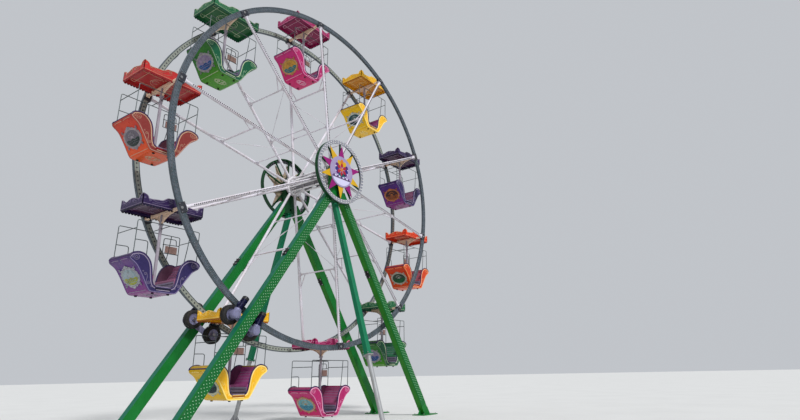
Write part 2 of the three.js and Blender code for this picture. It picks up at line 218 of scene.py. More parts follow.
finishLooks = {
    "rimSteel": dict(colour=(74, 86, 92), blotch=(106, 112, 124), metal=0.3, blotchSize=0.16,
                     blotchAmount=0.8, rough=(0.35, 0.6), streak=(84, 74, 66), streakAmount=0.6),
    "bearingSteel": dict(colour=(56, 58, 66), blotch=(84, 80, 80), metal=0.5, rough=(0.4, 0.65)),
    "rimPale": dict(colour=(146, 152, 142), blotch=(112, 120, 120), rough=(0.4, 0.6)),
    "lampGlass": dict(colour=(176, 180, 190), blotch=(150, 152, 160), rough=(0.2, 0.3)),
    "spokePaint": dict(colour=(216, 212, 222), blotch=(186, 176, 176), blotchAmount=0.7,
                       streak=(138, 116, 102), streakAmount=0.45, chip=(112, 92, 80)),
    "hubPaint": dict(colour=(236, 234, 238), blotch=(202, 196, 196), metal=0.1, streak=(98, 82, 70),
                     streakAmount=0.5),
    # Sleeve and discs inside the hub cage: a dark grey that paints the shade between the bars
    "hubShadeGrey": dict(colour=(136, 134, 140), blotch=(156, 150, 148), metal=0.1, rough=(0.4, 0.6)),
    "towerGreen": dict(colour=(14, 108, 40), blotch=(26, 124, 56), rough=(0.36, 0.55), streak=(12, 64, 30),
                       chip=(140, 152, 136), chipFrom=0.7),
    # Leg side strips: a teal painted as the shade on the outward faces, and a bright green painted as light
    # thrown up from the ground on the inward faces
    "outerPaintedShadeTeal": dict(colour=(10, 98, 76), blotch=(18, 110, 80), rough=(0.4, 0.6), streak=(8, 62, 48),
                      chipFrom=0.72),
    "innerPaintedLightGreen": dict(colour=(36, 122, 30), blotch=(52, 138, 36), rough=(0.4, 0.6), streak=(24, 74, 24),
                       chipFrom=0.72),
    "braceGreen": dict(colour=(8, 106, 72), blotch=(20, 120, 84), rough=(0.36, 0.55), streak=(10, 62, 46),
                       chip=(128, 140, 130), chipFrom=0.7),
    # Bulb panels: a darker green that paints the shade falling on the near faces
    "panelShadeGreen": dict(colour=(12, 94, 40), blotch=(20, 108, 50), rough=(0.4, 0.6), streak=(10, 56, 28)),
    "darkGreen": dict(colour=(8, 60, 30), blotch=(18, 76, 40), rough=(0.4, 0.6), streak=(12, 36, 22),
                      chip=(110, 120, 108), chipFrom=0.7),
    "legBulb": dict(colour=(150, 200, 158), blotch=(120, 170, 130), rough=(0.15, 0.3), streakAmount=0.1,
                    chipFrom=0.8, bump=0.05),
    "axleSteel": dict(colour=(150, 150, 152), blotch=(116, 112, 108), metal=0.85, rough=(0.25, 0.5)),
    "boltSteel": dict(colour=(160, 160, 164), blotch=(112, 108, 104), metal=0.8, rough=(0.3, 0.5),
                      blotchSize=0.04),
    "pipeGrey": dict(colour=(166, 168, 170), blotch=(128, 128, 128), metal=0.4, rough=(0.35, 0.6)),
    "starGrey": dict(colour=(144, 146, 156), blotch=(116, 116, 128), blotchSize=0.1, blotchAmount=0.8,
                     rough=(0.35, 0.55)),
    "starPlate": dict(colour=(154, 142, 176), blotch=(136, 120, 162), blotchSize=0.3, blotchAmount=0.7,
                      rough=(0.25, 0.4), streakAmount=0.15, chipFrom=0.76),
    "rayMagenta": dict(colour=(134, 12, 104), blotch=(150, 24, 116), rough=(0.3, 0.46), streakAmount=0.15,
                       chipFrom=0.76),
    "rayYellow": dict(colour=(198, 154, 20), blotch=(210, 170, 44), rough=(0.3, 0.46), streakAmount=0.15,
                      chipFrom=0.76),
    "rayBack": dict(colour=(176, 160, 138), blotch=(140, 122, 104), rough=(0.4, 0.6)),
    "motifRed": dict(colour=(160, 30, 46), blotch=(178, 62, 64), streakAmount=0.1, chipFrom=0.76),
    "motifOrange": dict(colour=(190, 112, 36), blotch=(204, 140, 60), streakAmount=0.1, chipFrom=0.76),
    "motifBlue": dict(colour=(38, 38, 110), blotch=(64, 64, 140), streakAmount=0.1, chipFrom=0.76),
    "motifTeal": dict(colour=(10, 80, 86), blotch=(36, 110, 110), streakAmount=0.1, chipFrom=0.76),
    "motifPurple": dict(colour=(76, 26, 98), blotch=(104, 54, 126), streakAmount=0.1, chipFrom=0.76),
    "motifWhite": dict(colour=(202, 198, 226), blotch=(184, 178, 210), streakAmount=0.15, chipFrom=0.76),
    "bulbGlass": dict(colour=(246, 244, 240), blotch=(226, 222, 214), rough=(0.12, 0.25), streakAmount=0.1,
                      chipFrom=0.8, coat=0.5, bump=0.05),
    "socketDark": dict(colour=(58, 60, 66), blotch=(86, 86, 90), rough=(0.45, 0.7)),
    "driveGrey": dict(colour=(128, 128, 160), blotch=(98, 98, 124), metal=0.2, rough=(0.3, 0.55),
                      streak=(70, 62, 54), streakAmount=0.6),
    "motorNavy": dict(colour=(20, 22, 66), blotch=(36, 40, 86), metal=0.2, rough=(0.35, 0.55)),
    "motorBlack": dict(colour=(26, 26, 30), blotch=(46, 46, 50), rough=(0.35, 0.6)),
    "rubber": dict(colour=(26, 26, 28), blotch=(58, 54, 50), blotchSize=0.12, rough=(0.7, 0.9),
                   streak=(92, 84, 74), specular=0.3, bump=0.5),
    "creamPaint": dict(colour=(232, 204, 178), blotch=(204, 174, 148), rough=(0.3, 0.5),
                       streak=(128, 104, 84), streakAmount=0.4),
    "mastPaint": dict(colour=(162, 154, 164), blotch=(134, 124, 140), rough=(0.3, 0.5), streak=(110, 96, 92),
                      streakAmount=0.5),
    "platePink": dict(colour=(196, 158, 146), blotch=(172, 134, 124), rough=(0.4, 0.6)),
    "wireDark": dict(colour=(74, 82, 84), blotch=(112, 118, 118), metal=0.5, rough=(0.35, 0.55)),
    "deckPale": dict(colour=(150, 136, 164), blotch=(122, 110, 140), rough=(0.4, 0.6)),
    "rimIndigo": dict(colour=(40, 26, 74), blotch=(64, 48, 98), rough=(0.35, 0.5)),
    "footBlack": dict(colour=(28, 30, 32), blotch=(50, 50, 50), rough=(0.5, 0.7)),
}
finishes = {name: makeFinish(name, look) for name, look in finishLooks.items()}


# A growing mesh: points, faces, the paint of each face and an edge value for each point
class Shape:
    def __init__(self):
        self.points = []
        self.faces = []
        self.paints = []
        self.edges = []

    def add(self, part, paint=0, place=None):
        points, faces = part[:2]
        start = len(self.points)
        self.points += [place @ Vector(p) for p in points] if place else [Vector(p) for p in points]
        self.faces += [tuple(start + index for index in face) for face in faces]
        self.paints += [paint] * len(faces)
        self.edges += part[2] if len(part) > 2 else [0.0] * len(points)
        return self


def chamferedBox(size, edge=0.006):
    half = Vector(size) / 2
    points = []
    index = {}
    for corner in product((-1, 1), repeat=3):
        for axis in range(3):
            inner = [corner[k] * (half[k] - (0 if k == axis else edge)) for k in range(3)]
            index[corner, axis] = len(points)
            points.append(Vector(inner))
    faces = [tuple(index[corner, axis] for axis in range(3)) for corner in product((-1, 1), repeat=3)]
    for axis in range(3):
        one, two = [k for k in range(3) if k != axis]
        for sign in (-1, 1):
            loop = []
            for first, second in ((-1, -1), (1, -1), (1, 1), (-1, 1)):
                corner = [0, 0, 0]
                corner[axis], corner[one], corner[two] = sign, first, second
                loop.append(index[tuple(corner), axis])
            faces.append(tuple(loop))
        for first, second in product((-1, 1), repeat=2):
            low, high = [0, 0, 0], [0, 0, 0]
            low[axis], high[axis] = -1, 1
            low[one] = high[one] = first
            low[two] = high[two] = second
            low, high = tuple(low), tuple(high)
            faces.append((index[low, one], index[high, one], index[high, two], index[low, two]))
    return points, faces


def boxAt(size, centre, edge=0.006):
    points, faces = chamferedBox(size, edge)
    return [point + Vector(centre) for point in points], faces


# A bar between two points; its first width lies along side
def barAlong(start, end, width, depth, side=(0, 1, 0), edge=0.005):
    start, end = Vector(start), Vector(end)
    along = (end - start).normalized()
    across = Vector(side) - along * Vector(side).dot(along)
    across.normalize()
    up = along.cross(across)
    place = Matrix((across, up, along)).transposed().to_4x4()
    place.translation = (start + end) / 2
    points, faces = chamferedBox((width, depth, (end - start).length), edge)
    return [place @ point for point in points], faces


def capped(rings, closed=False):
    sides = len(rings[0])
    points = [point for ring in rings for point in ring]
    faces = []
    count = len(rings)
    for row in range(count if closed else count - 1):
        this, following = row * sides, (row + 1) % count * sides
        for k in range(sides):
            after = (k + 1) % sides
            faces.append((this + k, this + after, following + after, following + k))
    if not closed:
        faces.append(tuple(reversed(range(sides))))
        faces.append(tuple(range((count - 1) * sides, count * sides)))
    return points, faces


# A section carried along a path without twist. scale may be one number or one for each point
def sweep(path, section, closed=False, scale=1.0, up=None):
    path = [Vector(p) for p in path]
    count = len(path)
    scales = scale if isinstance(scale, list) else [scale] * count
    tangents = []
    for k in range(count):
        before = path[k - 1] if (k > 0 or closed) else path[k]
        after = path[(k + 1) % count] if (k < count - 1 or closed) else path[k]
        tangents.append((after - before).normalized())
    normal = Vector(up) if up else tangents[0].orthogonal()
    rings = []
    for point, tangent, size in zip(path, tangents, scales):
        normal = (normal - tangent * normal.dot(tangent)).normalized()
        other = tangent.cross(normal)
        rings.append([point + (normal * a + other * b) * size for a, b in section])
    return capped(rings, closed)


def circle(radius, sides):
    return [(radius * cos(2 * pi * k / sides), radius * sin(2 * pi * k / sides)) for k in range(sides)]


def tube(path, radius, sides=10, closed=False, up=None):
    if isinstance(radius, list):
        return sweep(path, circle(1.0, sides), closed, radius, up)
    return sweep(path, circle(radius, sides), closed, 1.0, up)


# A round rod from start; stations are (distance, radius)
def rodAlong(start, along, stations, sides):
    return tube([start + along * distance for distance, radius in stations],
                [radius for distance, radius in stations], sides)


# Rings joined in turn; a ring of one point is a pole, and rings without poles close on the first
def stitched(rings):
    points, rows = [], []
    for ring in rings:
        rows.append(range(len(points), len(points) + len(ring)))
        points += ring
    sides = max(len(row) for row in rows)
    closed = len(rows[0]) > 1 and len(rows[-1]) > 1
    faces = []
    for index in range(len(rows) if closed else len(rows) - 1):
        this, following = rows[index], rows[(index + 1) % len(rows)]
        for k in range(sides):
            after = (k + 1) % sides
            if len(this) == 1:
                faces.append((this[0], following[after], following[k]))
            elif len(following) == 1:
                faces.append((this[k], this[after], following[0]))
            else:
                faces.append((this[k], this[after], following[after], following[k]))
    return points, faces


# A profile of (radius, y) turned round the Y axis through centre. An end with radius 0 is a pole
def lathe(profile, facets, centre=(0, 0, 0), start=0.0):
    rings = []
    for radius, y in profile:
        turns = [start + 2 * pi * k / facets for k in range(facets if radius > 1e-6 else 1)]
        rings.append([Vector(centre) + Vector((radius * sin(turn), y, radius * cos(turn))) for turn in turns])
    return stitched(rings)


# The profile of a plain ring or disc
def band(inner, outer, low, high):
    return [(inner, low), (outer, low), (outer, high), (inner, high)]


# Spots on a circle round a centre in X and Z, on a face at y, for a ring of bolts
def boltCircle(centre, radius, y, count, side):
    turns = (2 * pi * k / count for k in range(count))
    spots = [Vector((centre.x + radius * sin(turn), y, centre.z + radius * cos(turn))) for turn in turns]
    return [(spot, (0, side, 0), (1, 0, 0)) for spot in spots]


def area(outline):
    return sum(a[0] * b[1] - b[0] * a[1] for a, b in zip(outline, outline[1:] + outline[:1])) / 2


# The outline moved inwards by a distance, point by point
def inset(outline, distance):
    turn = 1 if area(outline) > 0 else -1
    moved = []
    for k, (x, z) in enumerate(outline):
        before = Vector(outline[k - 1])
        after = Vector(outline[(k + 1) % len(outline)])
        here = Vector((x, z))
        one, two = (here - before).normalized(), (after - here).normalized()
        normal = Vector((-(one + two).y, (one + two).x)) * turn
        if normal.length < 1e-6:
            normal = Vector((-one.y, one.x)) * turn
        normal.normalize()
        lean = max(0.5, normal.dot(Vector((-one.y, one.x)) * turn))
        moved.append(tuple(here + normal * distance / lean))
    return moved


# An outline in X and Z with thickness along Y and chamfered rims
def slab(outline, low, high, edge=0.004):
    inner = inset(outline, edge)
    rings = [[Vector((x, y, z)) for x, z in ring] for ring, y in (
        (inner, low), (outline, low + edge), (outline, high - edge), (inner, high))]
    return capped(rings)


# A thin plate on both sides of the plane where Y is 0
def web(outline, half, edge=0.002):
    return slab(outline, -half, half, edge)


# Turns an outline in X and Z into one in Y and Z
quarterTurn = Matrix.Rotation(pi / 2, 4, "Z")


# A smooth line through the given points
def smoothLine(points, steps=6, closed=False):
    points = [Vector(p) for p in points]
    count = len(points)
    line = []
    for k in range(count if closed else count - 1):
        if closed:
            a, b, c, d = (points[(k + step) % count] for step in (-1, 0, 1, 2))
        else:
            b, c = points[k], points[k + 1]
            a = points[k - 1] if k > 0 else b * 2 - c
            d = points[k + 2] if k + 2 < count else c * 2 - b
        for step in range(steps):
            t = step / steps
            line.append(0.5 * (2 * b + (c - a) * t + (2 * a - 5 * b + 4 * c - d) * t ** 2
                               + (3 * b - a - 3 * c + d) * t ** 3))
    if not closed:
        line.append(points[-1])
    return line


# A path with its corners rounded to a radius
def rounded(points, radius, steps=5):
    points = [Vector(p) for p in points]
    path = [points[0]]
    for before, here, after in zip(points, points[1:], points[2:]):
        one, two = (before - here), (after - here)
        reach = min(radius, one.length * 0.45, two.length * 0.45)
        start, end = here + one.normalized() * reach, here + two.normalized() * reach
        for step in range(steps + 1):
            t = step / steps
            path.append(start * (1 - t) ** 2 + here * 2 * t * (1 - t) + end * t ** 2)
    path.append(points[-1])
    return path


# A flat spiral round the Y axis that starts wide and winds inwards
def spiral(centre, radius, turns, start, hand=1, inner=0.25, steps=14):
    count = max(6, int(abs(turns) * steps))
    points = []
    for k in range(count + 1):
        share = k / count
        reach = radius * (1 - (1 - inner) * share)
        angle = start + hand * 2 * pi * turns * share
        points.append(Vector(centre) + Vector((reach * cos(angle), 0, reach * sin(angle))))
    return points


# Pieces
def settle(piece, body, nodes=()):
    if piece.name not in bpy.context.scene.collection.objects:
        bpy.context.scene.collection.objects.link(piece)
    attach(piece, body)
    if nodes:
        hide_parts(*nodes)
    return piece


def makePiece(name, shape, body, paints, nodes=(), at=(0, 0, 0), crease=35):
    mesh = bpy.data.meshes.new(name)
    shift = Vector(at)
    mesh.from_pydata([point + shift for point in shape.points], [], shape.faces)
    for paint in paints:
        mesh.materials.append(finishes[paint])
    mesh.polygons.foreach_set("material_index", shape.paints)
    if any(shape.edges):
        mesh.attributes.new("edge", "FLOAT", "POINT").data.foreach_set("value", shape.edges)
    if shift.length:
        flat = [value for point in shape.points for value in point]
        mesh.attributes.new("place", "FLOAT_VECTOR", "POINT").data.foreach_set("vector", flat)
    work = bmesh.new()
    work.from_mesh(mesh)
    bmesh.ops.recalc_face_normals(work, faces=work.faces)
    work.to_mesh(mesh)
    work.free()
    mesh.shade_smooth()
    mesh.set_sharp_from_angle(angle=radians(crease))
    return settle(bpy.data.objects.new(name, mesh), body, nodes)


# Geometry Nodes: each tree has named inputs and ends in Realize Instances and Set Material
def newTree(name, inputs):
    tree = bpy.data.node_groups.new(name, "GeometryNodeTree")
    tree.interface.new_socket("Geometry", in_out="INPUT", socket_type="NodeSocketGeometry")
    for label, kind in inputs:
        tree.interface.new_socket(label, in_out="INPUT", socket_type="NodeSocket" + kind)
    tree.interface.new_socket("Geometry", in_out="OUTPUT", socket_type="NodeSocketGeometry")
    return tree, addNode(tree, "NodeGroupInput").outputs


def endTree(tree, geometry, material, smooth=True):
    if smooth:
        geometry = addNode(tree, "GeometryNodeSetShadeSmooth", {"Geometry": geometry}).outputs[0]
    whole = addNode(tree, "GeometryNodeRealizeInstances", {"Geometry": geometry})
    dressed = addNode(tree, "GeometryNodeSetMaterial", {"Geometry": whole.outputs[0], "Material": material})
    addNode(tree, "NodeGroupOutput", {"Geometry": dressed.outputs[0]})
    return tree


# Stands one shape on every point, its Z along facing and its X along heading
def standOnPoints(tree, points, shape):
    def direction(name):
        node = addNode(tree, "GeometryNodeInputNamedAttribute", {"Name": name}, data_type="FLOAT_VECTOR")
        return node.outputs["Attribute"]
    first = addNode(tree, "FunctionNodeAlignRotationToVector", {"Vector": direction("facing")}, axis="Z")
    second = addNode(tree, "FunctionNodeAlignRotationToVector", {
        "Rotation": first.outputs[0], "Vector": direction("heading")}, axis="X", pivot_axis="Z")
    return addNode(tree, "GeometryNodeInstanceOnPoints", {
        "Points": points, "Instance": shape, "Rotation": second.outputs[0]}).outputs["Instances"]


def shiftUp(tree, shape, height, scale=None):
    offset = addNode(tree, "ShaderNodeCombineXYZ", {"Z": height}).outputs[0]
    inputs = {"Geometry": shape, "Translation": offset}
    if scale:
        inputs["Scale"] = scale
    return addNode(tree, "GeometryNodeTransform", inputs).outputs[0]


# Bulbs, lamps and beads: a ball on every point, lifted by a height
def makeBeadTree():
    tree, start = newTree("beads", [("Radius", "Float"), ("Height", "Float"), ("Material", "Material")])
    ball = addNode(tree, "GeometryNodeMeshUVSphere", {"Segments": 8, "Rings": 5, "Radius": start["Radius"]})
    raised = shiftUp(tree, ball.outputs["Mesh"], start["Height"])
    return endTree(tree, standOnPoints(tree, start["Geometry"], raised), start["Material"])


# Sockets, dark discs painted for the shade in holes, bolt heads, nuts and fins: a straight or tapered stud on
# every point
def makeStudTree():
    tree, start = newTree("studs", [("Sides", "Int"), ("Foot", "Float"), ("Top", "Float"),
                                    ("Height", "Float"), ("Material", "Material")])
    cone = addNode(tree, "GeometryNodeMeshCone", {
        "Vertices": start["Sides"], "Radius Bottom": start["Foot"], "Radius Top": start["Top"],
        "Depth": start["Height"]})
    studs = standOnPoints(tree, start["Geometry"], cone.outputs["Mesh"])
    return endTree(tree, studs, start["Material"], False)


# Treads: a box on every point, lifted by a height
def makeBlockTree():
    tree, start = newTree("blocks", [("Size", "Vector"), ("Lift", "Float"), ("Material", "Material")])
    block = addNode(tree, "GeometryNodeMeshCube", {"Size": start["Size"]})
    raised = shiftUp(tree, block.outputs["Mesh"], start["Lift"])
    return endTree(tree, standOnPoints(tree, start["Geometry"], raised), start["Material"], False)


# Round rails and braces along the given lines
def makePipeTree():
    tree, start = newTree("pipes", [("Radius", "Float"), ("Sides", "Int"), ("Material", "Material")])
    line = addNode(tree, "GeometryNodeMeshToCurve", {"Mesh": start["Geometry"]})
    section = addNode(tree, "GeometryNodeCurvePrimitiveCircle", {
        "Resolution": start["Sides"], "Radius": start["Radius"]})
    pipe = addNode(tree, "GeometryNodeCurveToMesh", {
        "Curve": line.outputs[0], "Profile Curve": section.outputs["Curve"], "Fill Caps": True})
    return endTree(tree, pipe.outputs[0], start["Material"])


# A hoop round the wheel axle; the given line is its section, X outwards and Y along the axle
def makeHoopTree():
    tree, start = newTree("hoop", [("Facets", "Int"), ("Radius", "Float"), ("Centre", "Vector"),
                                   ("Material", "Material")])
    section = addNode(tree, "GeometryNodeMeshToCurve", {"Mesh": start["Geometry"]})
    ring = addNode(tree, "GeometryNodeCurvePrimitiveCircle", {
        "Resolution": start["Facets"], "Radius": start["Radius"]})
    upright = addNode(tree, "GeometryNodeTransform", {"Geometry": ring.outputs["Curve"]})
    upright.inputs["Rotation"].default_value = (pi / 2, 0, 0)
    hoop = addNode(tree, "GeometryNodeCurveToMesh", {
        "Curve": upright.outputs[0], "Profile Curve": section.outputs[0]})
    placed = addNode(tree, "GeometryNodeTransform", {
        "Geometry": hoop.outputs[0], "Translation": start["Centre"]})
    return endTree(tree, placed.outputs[0], start["Material"], False)


# Scallops: a stretched disc on every point, its width along heading; the upper half lies inside the wall
def makeScallopTree():
    tree, start = newTree("scallops", [("Radius", "Float"), ("Thickness", "Float"), ("Drop", "Float"),
                                       ("Material", "Material")])
    disc = addNode(tree, "GeometryNodeMeshCylinder", {
        "Vertices": 10, "Radius": start["Radius"], "Depth": start["Thickness"]})
    stretch = addNode(tree, "ShaderNodeCombineXYZ", {"X": 1.0, "Y": start["Drop"], "Z": 1.0}).outputs[0]
    placed = shiftUp(tree, disc.outputs["Mesh"], 0.0, stretch)
    return endTree(tree, standOnPoints(tree, start["Geometry"], placed), start["Material"], False)


trees = {"beads": makeBeadTree(), "studs": makeStudTree(), "blocks": makeBlockTree(), "pipes": makePipeTree(),
         "hoop": makeHoopTree(), "scallops": makeScallopTree()}


# Runs a tree over points or lines and keeps the result as a plain mesh.
# spots are (place, facing, heading); lines are lists of points
def grow(name, treeName, body, values, spots=(), lines=(), closed=False, nodes=(), crease=35):
    tree = trees[treeName]
    carrier = bpy.data.meshes.new(name + "_carrier")
    if spots:
        carrier.from_pydata([spot[0] for spot in spots], [], [])
        for label, column in (("facing", 1), ("heading", 2)):
            flat = [value for spot in spots for value in spot[column]]
            carrier.attributes.new(label, "FLOAT_VECTOR", "POINT").data.foreach_set("vector", flat)
    else:
        points, edges = [], []
        for line in lines:
            first = len(points)
            points += [Vector(point) for point in line]
            edges += [(first + k, first + k + 1) for k in range(len(line) - 1)]
            if closed:
                edges.append((len(points) - 1, first))
        carrier.from_pydata(points, edges, [])
    piece = bpy.data.objects.new(name, carrier)
    bpy.context.scene.collection.objects.link(piece)
    modifier = piece.modifiers.new("grown", "NODES")
    modifier.node_group = tree
    sockets = {item.name: item.identifier for item in tree.interface.items_tree if item.in_out == "INPUT"}
    for label, value in values.items():
        modifier[sockets[label]] = finishes[value] if label == "Material" else value
    view = bpy.context.evaluated_depsgraph_get()
    grown = bpy.data.meshes.new_from_object(piece.evaluated_get(view))
    piece.modifiers.remove(modifier)
    piece.data = grown
    bpy.data.meshes.remove(carrier)
    work = bmesh.new()
    work.from_mesh(grown)
    bmesh.ops.recalc_face_normals(work, faces=work.faces)
    work.to_mesh(grown)
    work.free()
    grown.shade_smooth()
    grown.set_sharp_from_angle(angle=radians(crease))
    return settle(piece, body, nodes)


# Bolts and sockets: sizes are the sides, the radii of foot and top, and the height
def growStuds(name, body, sizes, spots, material="boltSteel"):
    values = dict(zip(("Sides", "Foot", "Top", "Height"), sizes), Material=material)
    grow(name, "studs", body, values, spots)


def growBeads(name, body, radius, height, spots, material):
    grow(name, "beads", body, {"Radius": radius, "Height": height, "Material": material}, spots)


def dressNode(name, finish):
    node = frame["nodes"][name]
    node.data.materials.clear()
    node.data.materials.append(finishes[finish])


print("Tools and finishes are ready")


# Rims
rimLook = {"segments": 240, "width": 0.11, "middle": 1.02, "lip": 0.022, "recess": 0.010, "lampPitch": 0.115,
           "lampRadius": 0.010, "lampRows": (-0.045, 0.045), "stripHalf": 0.07, "holePitch": 0.148,
           "holeRadius": 0.032, "lug": (0.34, 0.15, 0.235), "lugDrop": 0.0325, "lugReach": 0.19,
           "splice": (0.30, 0.088, 0.012)}
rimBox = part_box("rim_near")
rimOuter = (rimBox[1].x - rimBox[0].x) / 2
rimDepth = 2 * (rimOuter - wheelRadius)
rimInner = rimOuter - rimDepth
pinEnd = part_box("gondola_1_hanger")[1].y
rimMiddle = rimLook["middle"]


def ringSpots(radius, y, count, side, phase=0.5):
    turns = (2 * pi * (k + phase) / count for k in range(count))
    return [(onWheel(radius, angle, y), (0, side, 0), (cos(angle), 0, -sin(angle)))
            for angle in turns if not underLug(angle)]


# True where a bearing block covers the rim
def underLug(angle):
    gaps = ((angle - spoke + pi) % (2 * pi) - pi for spoke in spokeAngles)
    return any(abs(gap) * wheelRadius < rimLook["lugReach"] for gap in gaps)


def makeRim(word, side):
    name = f"rim_{word}"
    look = rimLook
    half, deep = look["width"] / 2, rimDepth / 2
    lip, recess = look["lip"], look["recess"]

    def hoop(part, points, finish, nodes=(), slot=None):
        values = {"Facets": look["segments"], "Radius": wheelRadius,
                  "Centre": hub + Vector((0, side * rimMiddle, 0)), "Material": finish}
        section = [Vector((x, y, 0)) for x, y in points]
        grow(f"{name}_{part}", "hoop", "wheel", values, lines=[section], closed=True, nodes=nodes,
             crease=25)

    flank = [(deep - 0.006, -half), (deep, -half + 0.006), (deep, half - 0.006), (deep - 0.006, half),
             (deep - lip, half), (deep - lip - 0.004, half - recess)]
    flank += [(-x, y) for x, y in reversed(flank[1:])]
    flank += [(-deep + 0.006, -half), (-deep + lip, -half), (-deep + lip + 0.004, -half + recess),
              (deep - lip - 0.004, -half + recess), (deep - lip, -half)]
    hoop("hoop", flank, "rimSteel", (name,), "rim_steel")

    outerFace = side * (rimMiddle + half - recess)
    innerFace = side * (rimMiddle - half + recess)
    count = int(2 * pi * wheelRadius / look["lampPitch"])
    lamps = []
    for row, offset in enumerate(look["lampRows"]):
        lamps += ringSpots(wheelRadius + offset, outerFace, count, side, 0.5 * row)
    cups = [(spot + Vector((0, side * 0.004, 0)), *ways) for spot, *ways in lamps]
    growBeads(name + "_lamps", "wheel", look["lampRadius"], 0.010, lamps, "lampGlass")
    growStuds(name + "_sockets", "wheel", (8, 0.021, 0.017, 0.010), cups, "socketDark")
    wide = look["stripHalf"]
    low, high = side * (recess - half), side * (0.005 - half)
    hoop("strip", [(-wide, low), (-wide, high), (wide, high), (wide, low)], "rimPale")
    # Holes on the inner face: dark discs that paint the shade inside the rim
    count = int(2 * pi * wheelRadius / look["holePitch"])
    holes = ringSpots(wheelRadius, innerFace - side * 0.004, count, -side)
    growStuds(name + "_holes", "wheel", (10, look["holeRadius"], look["holeRadius"] - 0.006, 0.006), holes,
              "socketDark")

    blocks = Shape()
    bolts = []
    middle = wheelRadius - look["lugDrop"]
    cap = [(0.052, 1.09), (0.088, 1.09), (0.088, 1.099), (0.078, 1.103), (0.052, 1.103)]
    for angle in spokeAngles:
        place = turned(angle)
        blocks.add(boxAt(look["lug"], (0, side * rimMiddle, middle), 0.012), 0, place)
        blocks.add(lathe([(r, side * y) for r, y in cap], 24), 0,
                   place @ Matrix.Translation((0, 0, wheelRadius)))
        for dx, dz in product((-0.135, 0.135), (-0.075, 0.08)):
            bolts.append((place @ Vector((dx, side * 1.099, middle + dz)), (0, side, 0), (1, 0, 0)))
        place = turned(angle + pi / gondolaCount)
        blocks.add(boxAt(look["splice"], (0, side * rimMiddle, rimInner - 0.004), 0.003), 1, place)
        inward = place.to_3x3() @ Vector((0, 0, -1))
        for dx in (-0.1, -0.035, 0.035, 0.1):
            bolts.append((place @ Vector((dx, side * rimMiddle, rimInner - 0.009)), inward, (0, 1, 0)))
    makePiece(name + "_bearings", blocks, "wheel", ["bearingSteel", "rimSteel"])
    growStuds(name + "_bolts", "wheel", (6, 0.016, 0.015, 0.016), bolts)


for word, side in sides.items():
    makeRim(word, side)
print("Rims are in place")


# Spokes
spokeLook = {"radius": 0.056, "sides": 18, "hubOffset": 1.12, "strutOuter": 3.92, "strutInner": 2.17,
             "knee": 0.65, "kneeInset": 0.36, "collar": 0.068, "flare": 0.082, "joint": 3.86,
             "lampPitch": 0.07}
hubEnd = 0.4303
rimEnd = 6.8497


def spokeY(radius):
    share = (radius - hubEnd) / (rimEnd - hubEnd)
    return spokeLook["hubOffset"] + share * (rimMiddle - spokeLook["hubOffset"])


def makeSpokePair(number):
    look = spokeLook
    shape = Shape()
    knees, bolts, lamps = [], [], []
    place = turned(spokeAngles[number - 1])
    turn = place.to_3x3()
    outer, inner = look["strutOuter"], look["strutInner"]

    def at(radius, y):
        return Vector((0, y, radius))

    for side in (-1, 1):
        start, end = at(hubEnd, side * spokeY(hubEnd)), at(rimEnd, side * rimMiddle)
        length = (end - start).length
        plain, flare, collar, joint = (look[key] for key in ("radius", "flare", "collar", "joint"))
        neck = plain + 0.012
        stations = [(0.0, flare), (0.02, flare), (0.024, neck), (0.09, plain), (joint - 0.075, plain),
                    (joint - 0.07, collar), (joint + 0.07, collar), (joint + 0.075, plain),
                    (length - 0.09, plain), (length - 0.024, neck), (length - 0.02, flare), (length, flare)]
        shape.add(rodAlong(start, (end - start).normalized(), stations, look["sides"]), 0, place)
        for base, way in ((start, 1), (end, -1)):
            radius = base.z + way * 0.010
            shape.add(boxAt((0.22, 0.13, 0.02), (0, base.y, radius), 0.004), 0, place)
            for dx, dy in product((-0.088, 0.088), (-0.042, 0.042)):
                spot = place @ Vector((dx, base.y + dy, radius + way * 0.018))
                bolts.append((spot, turn @ Vector((0, 0, way)), (0, 1, 0)))
        reach = outer + look["knee"]
        knee = at(outer, side * (spokeY(outer) - look["kneeInset"])), at(reach, side * spokeY(reach))
        knees.append([place @ point for point in knee])
        for k in range(int((rimEnd - 0.9) / look["lampPitch"])):
            radius = 0.75 + k * look["lampPitch"]
            spot = place @ at(radius, side * (spokeY(radius) + look["radius"]))
            lamps.append((spot, (0, side, 0), turn @ Vector((1, 0, 0))))
    for radius, size in ((outer, 0.058), (inner, 0.042)):
        ends = at(radius, -spokeY(radius)), at(radius, spokeY(radius))
        shape.add(barAlong(*ends, size, size, (1, 0, 0), 0.006), 0, place)
        for side in (-1, 1):
            gusset = web([(0, 0.11), (0, -0.11), (-side * 0.17, 0)], 0.005, 0.001)
            corner = Matrix.Translation(at(radius, side * (spokeY(radius) - 0.05)))
            shape.add(gusset, 0, place @ corner @ quarterTurn)
    rodSide = -1 if number % 2 else 1
    tie = [at(outer, rodSide * spokeY(outer)), at(inner, -rodSide * spokeY(inner))]
    shape.add(tube(tie, 0.010, 8), 0, place)
    buckle = [(-0.14, 0.012), (-0.12, 0.020), (0.12, 0.020), (0.14, 0.012)]
    shape.add(rodAlong((tie[0] + tie[1]) / 2, (tie[1] - tie[0]).normalized(), buckle, 8), 0, place)
    name = f"spoke_pair_{number}"
    makePiece(name + "_tubes", shape, "wheel", ["spokePaint"], (name,))
    values = {"Radius": 0.021, "Sides": 10, "Material": "spokePaint"}
    grow(name + "_knees", "pipes", "wheel", values, lines=knees)
    return bolts, lamps


spokeBolts, spokeLamps = [], []
for number in numbers:
    bolts, lamps = makeSpokePair(number)
    spokeBolts += bolts
    spokeLamps += lamps
growStuds("spoke_lamps", "wheel", (6, 0.021, 0.015, 0.024), spokeLamps, "socketDark")
growStuds("spoke_bolts", "wheel", (6, 0.015, 0.014, 0.016), spokeBolts)
print("Spokes are in place")


# Hub
hubLook = {"apothem": 0.43, "innerFace": 1.05, "outerFace": 1.19, "sleeve": 0.215, "cageRadius": 0.345,
           "bar": 0.06, "disc": 0.37, "discAt": 0.36}


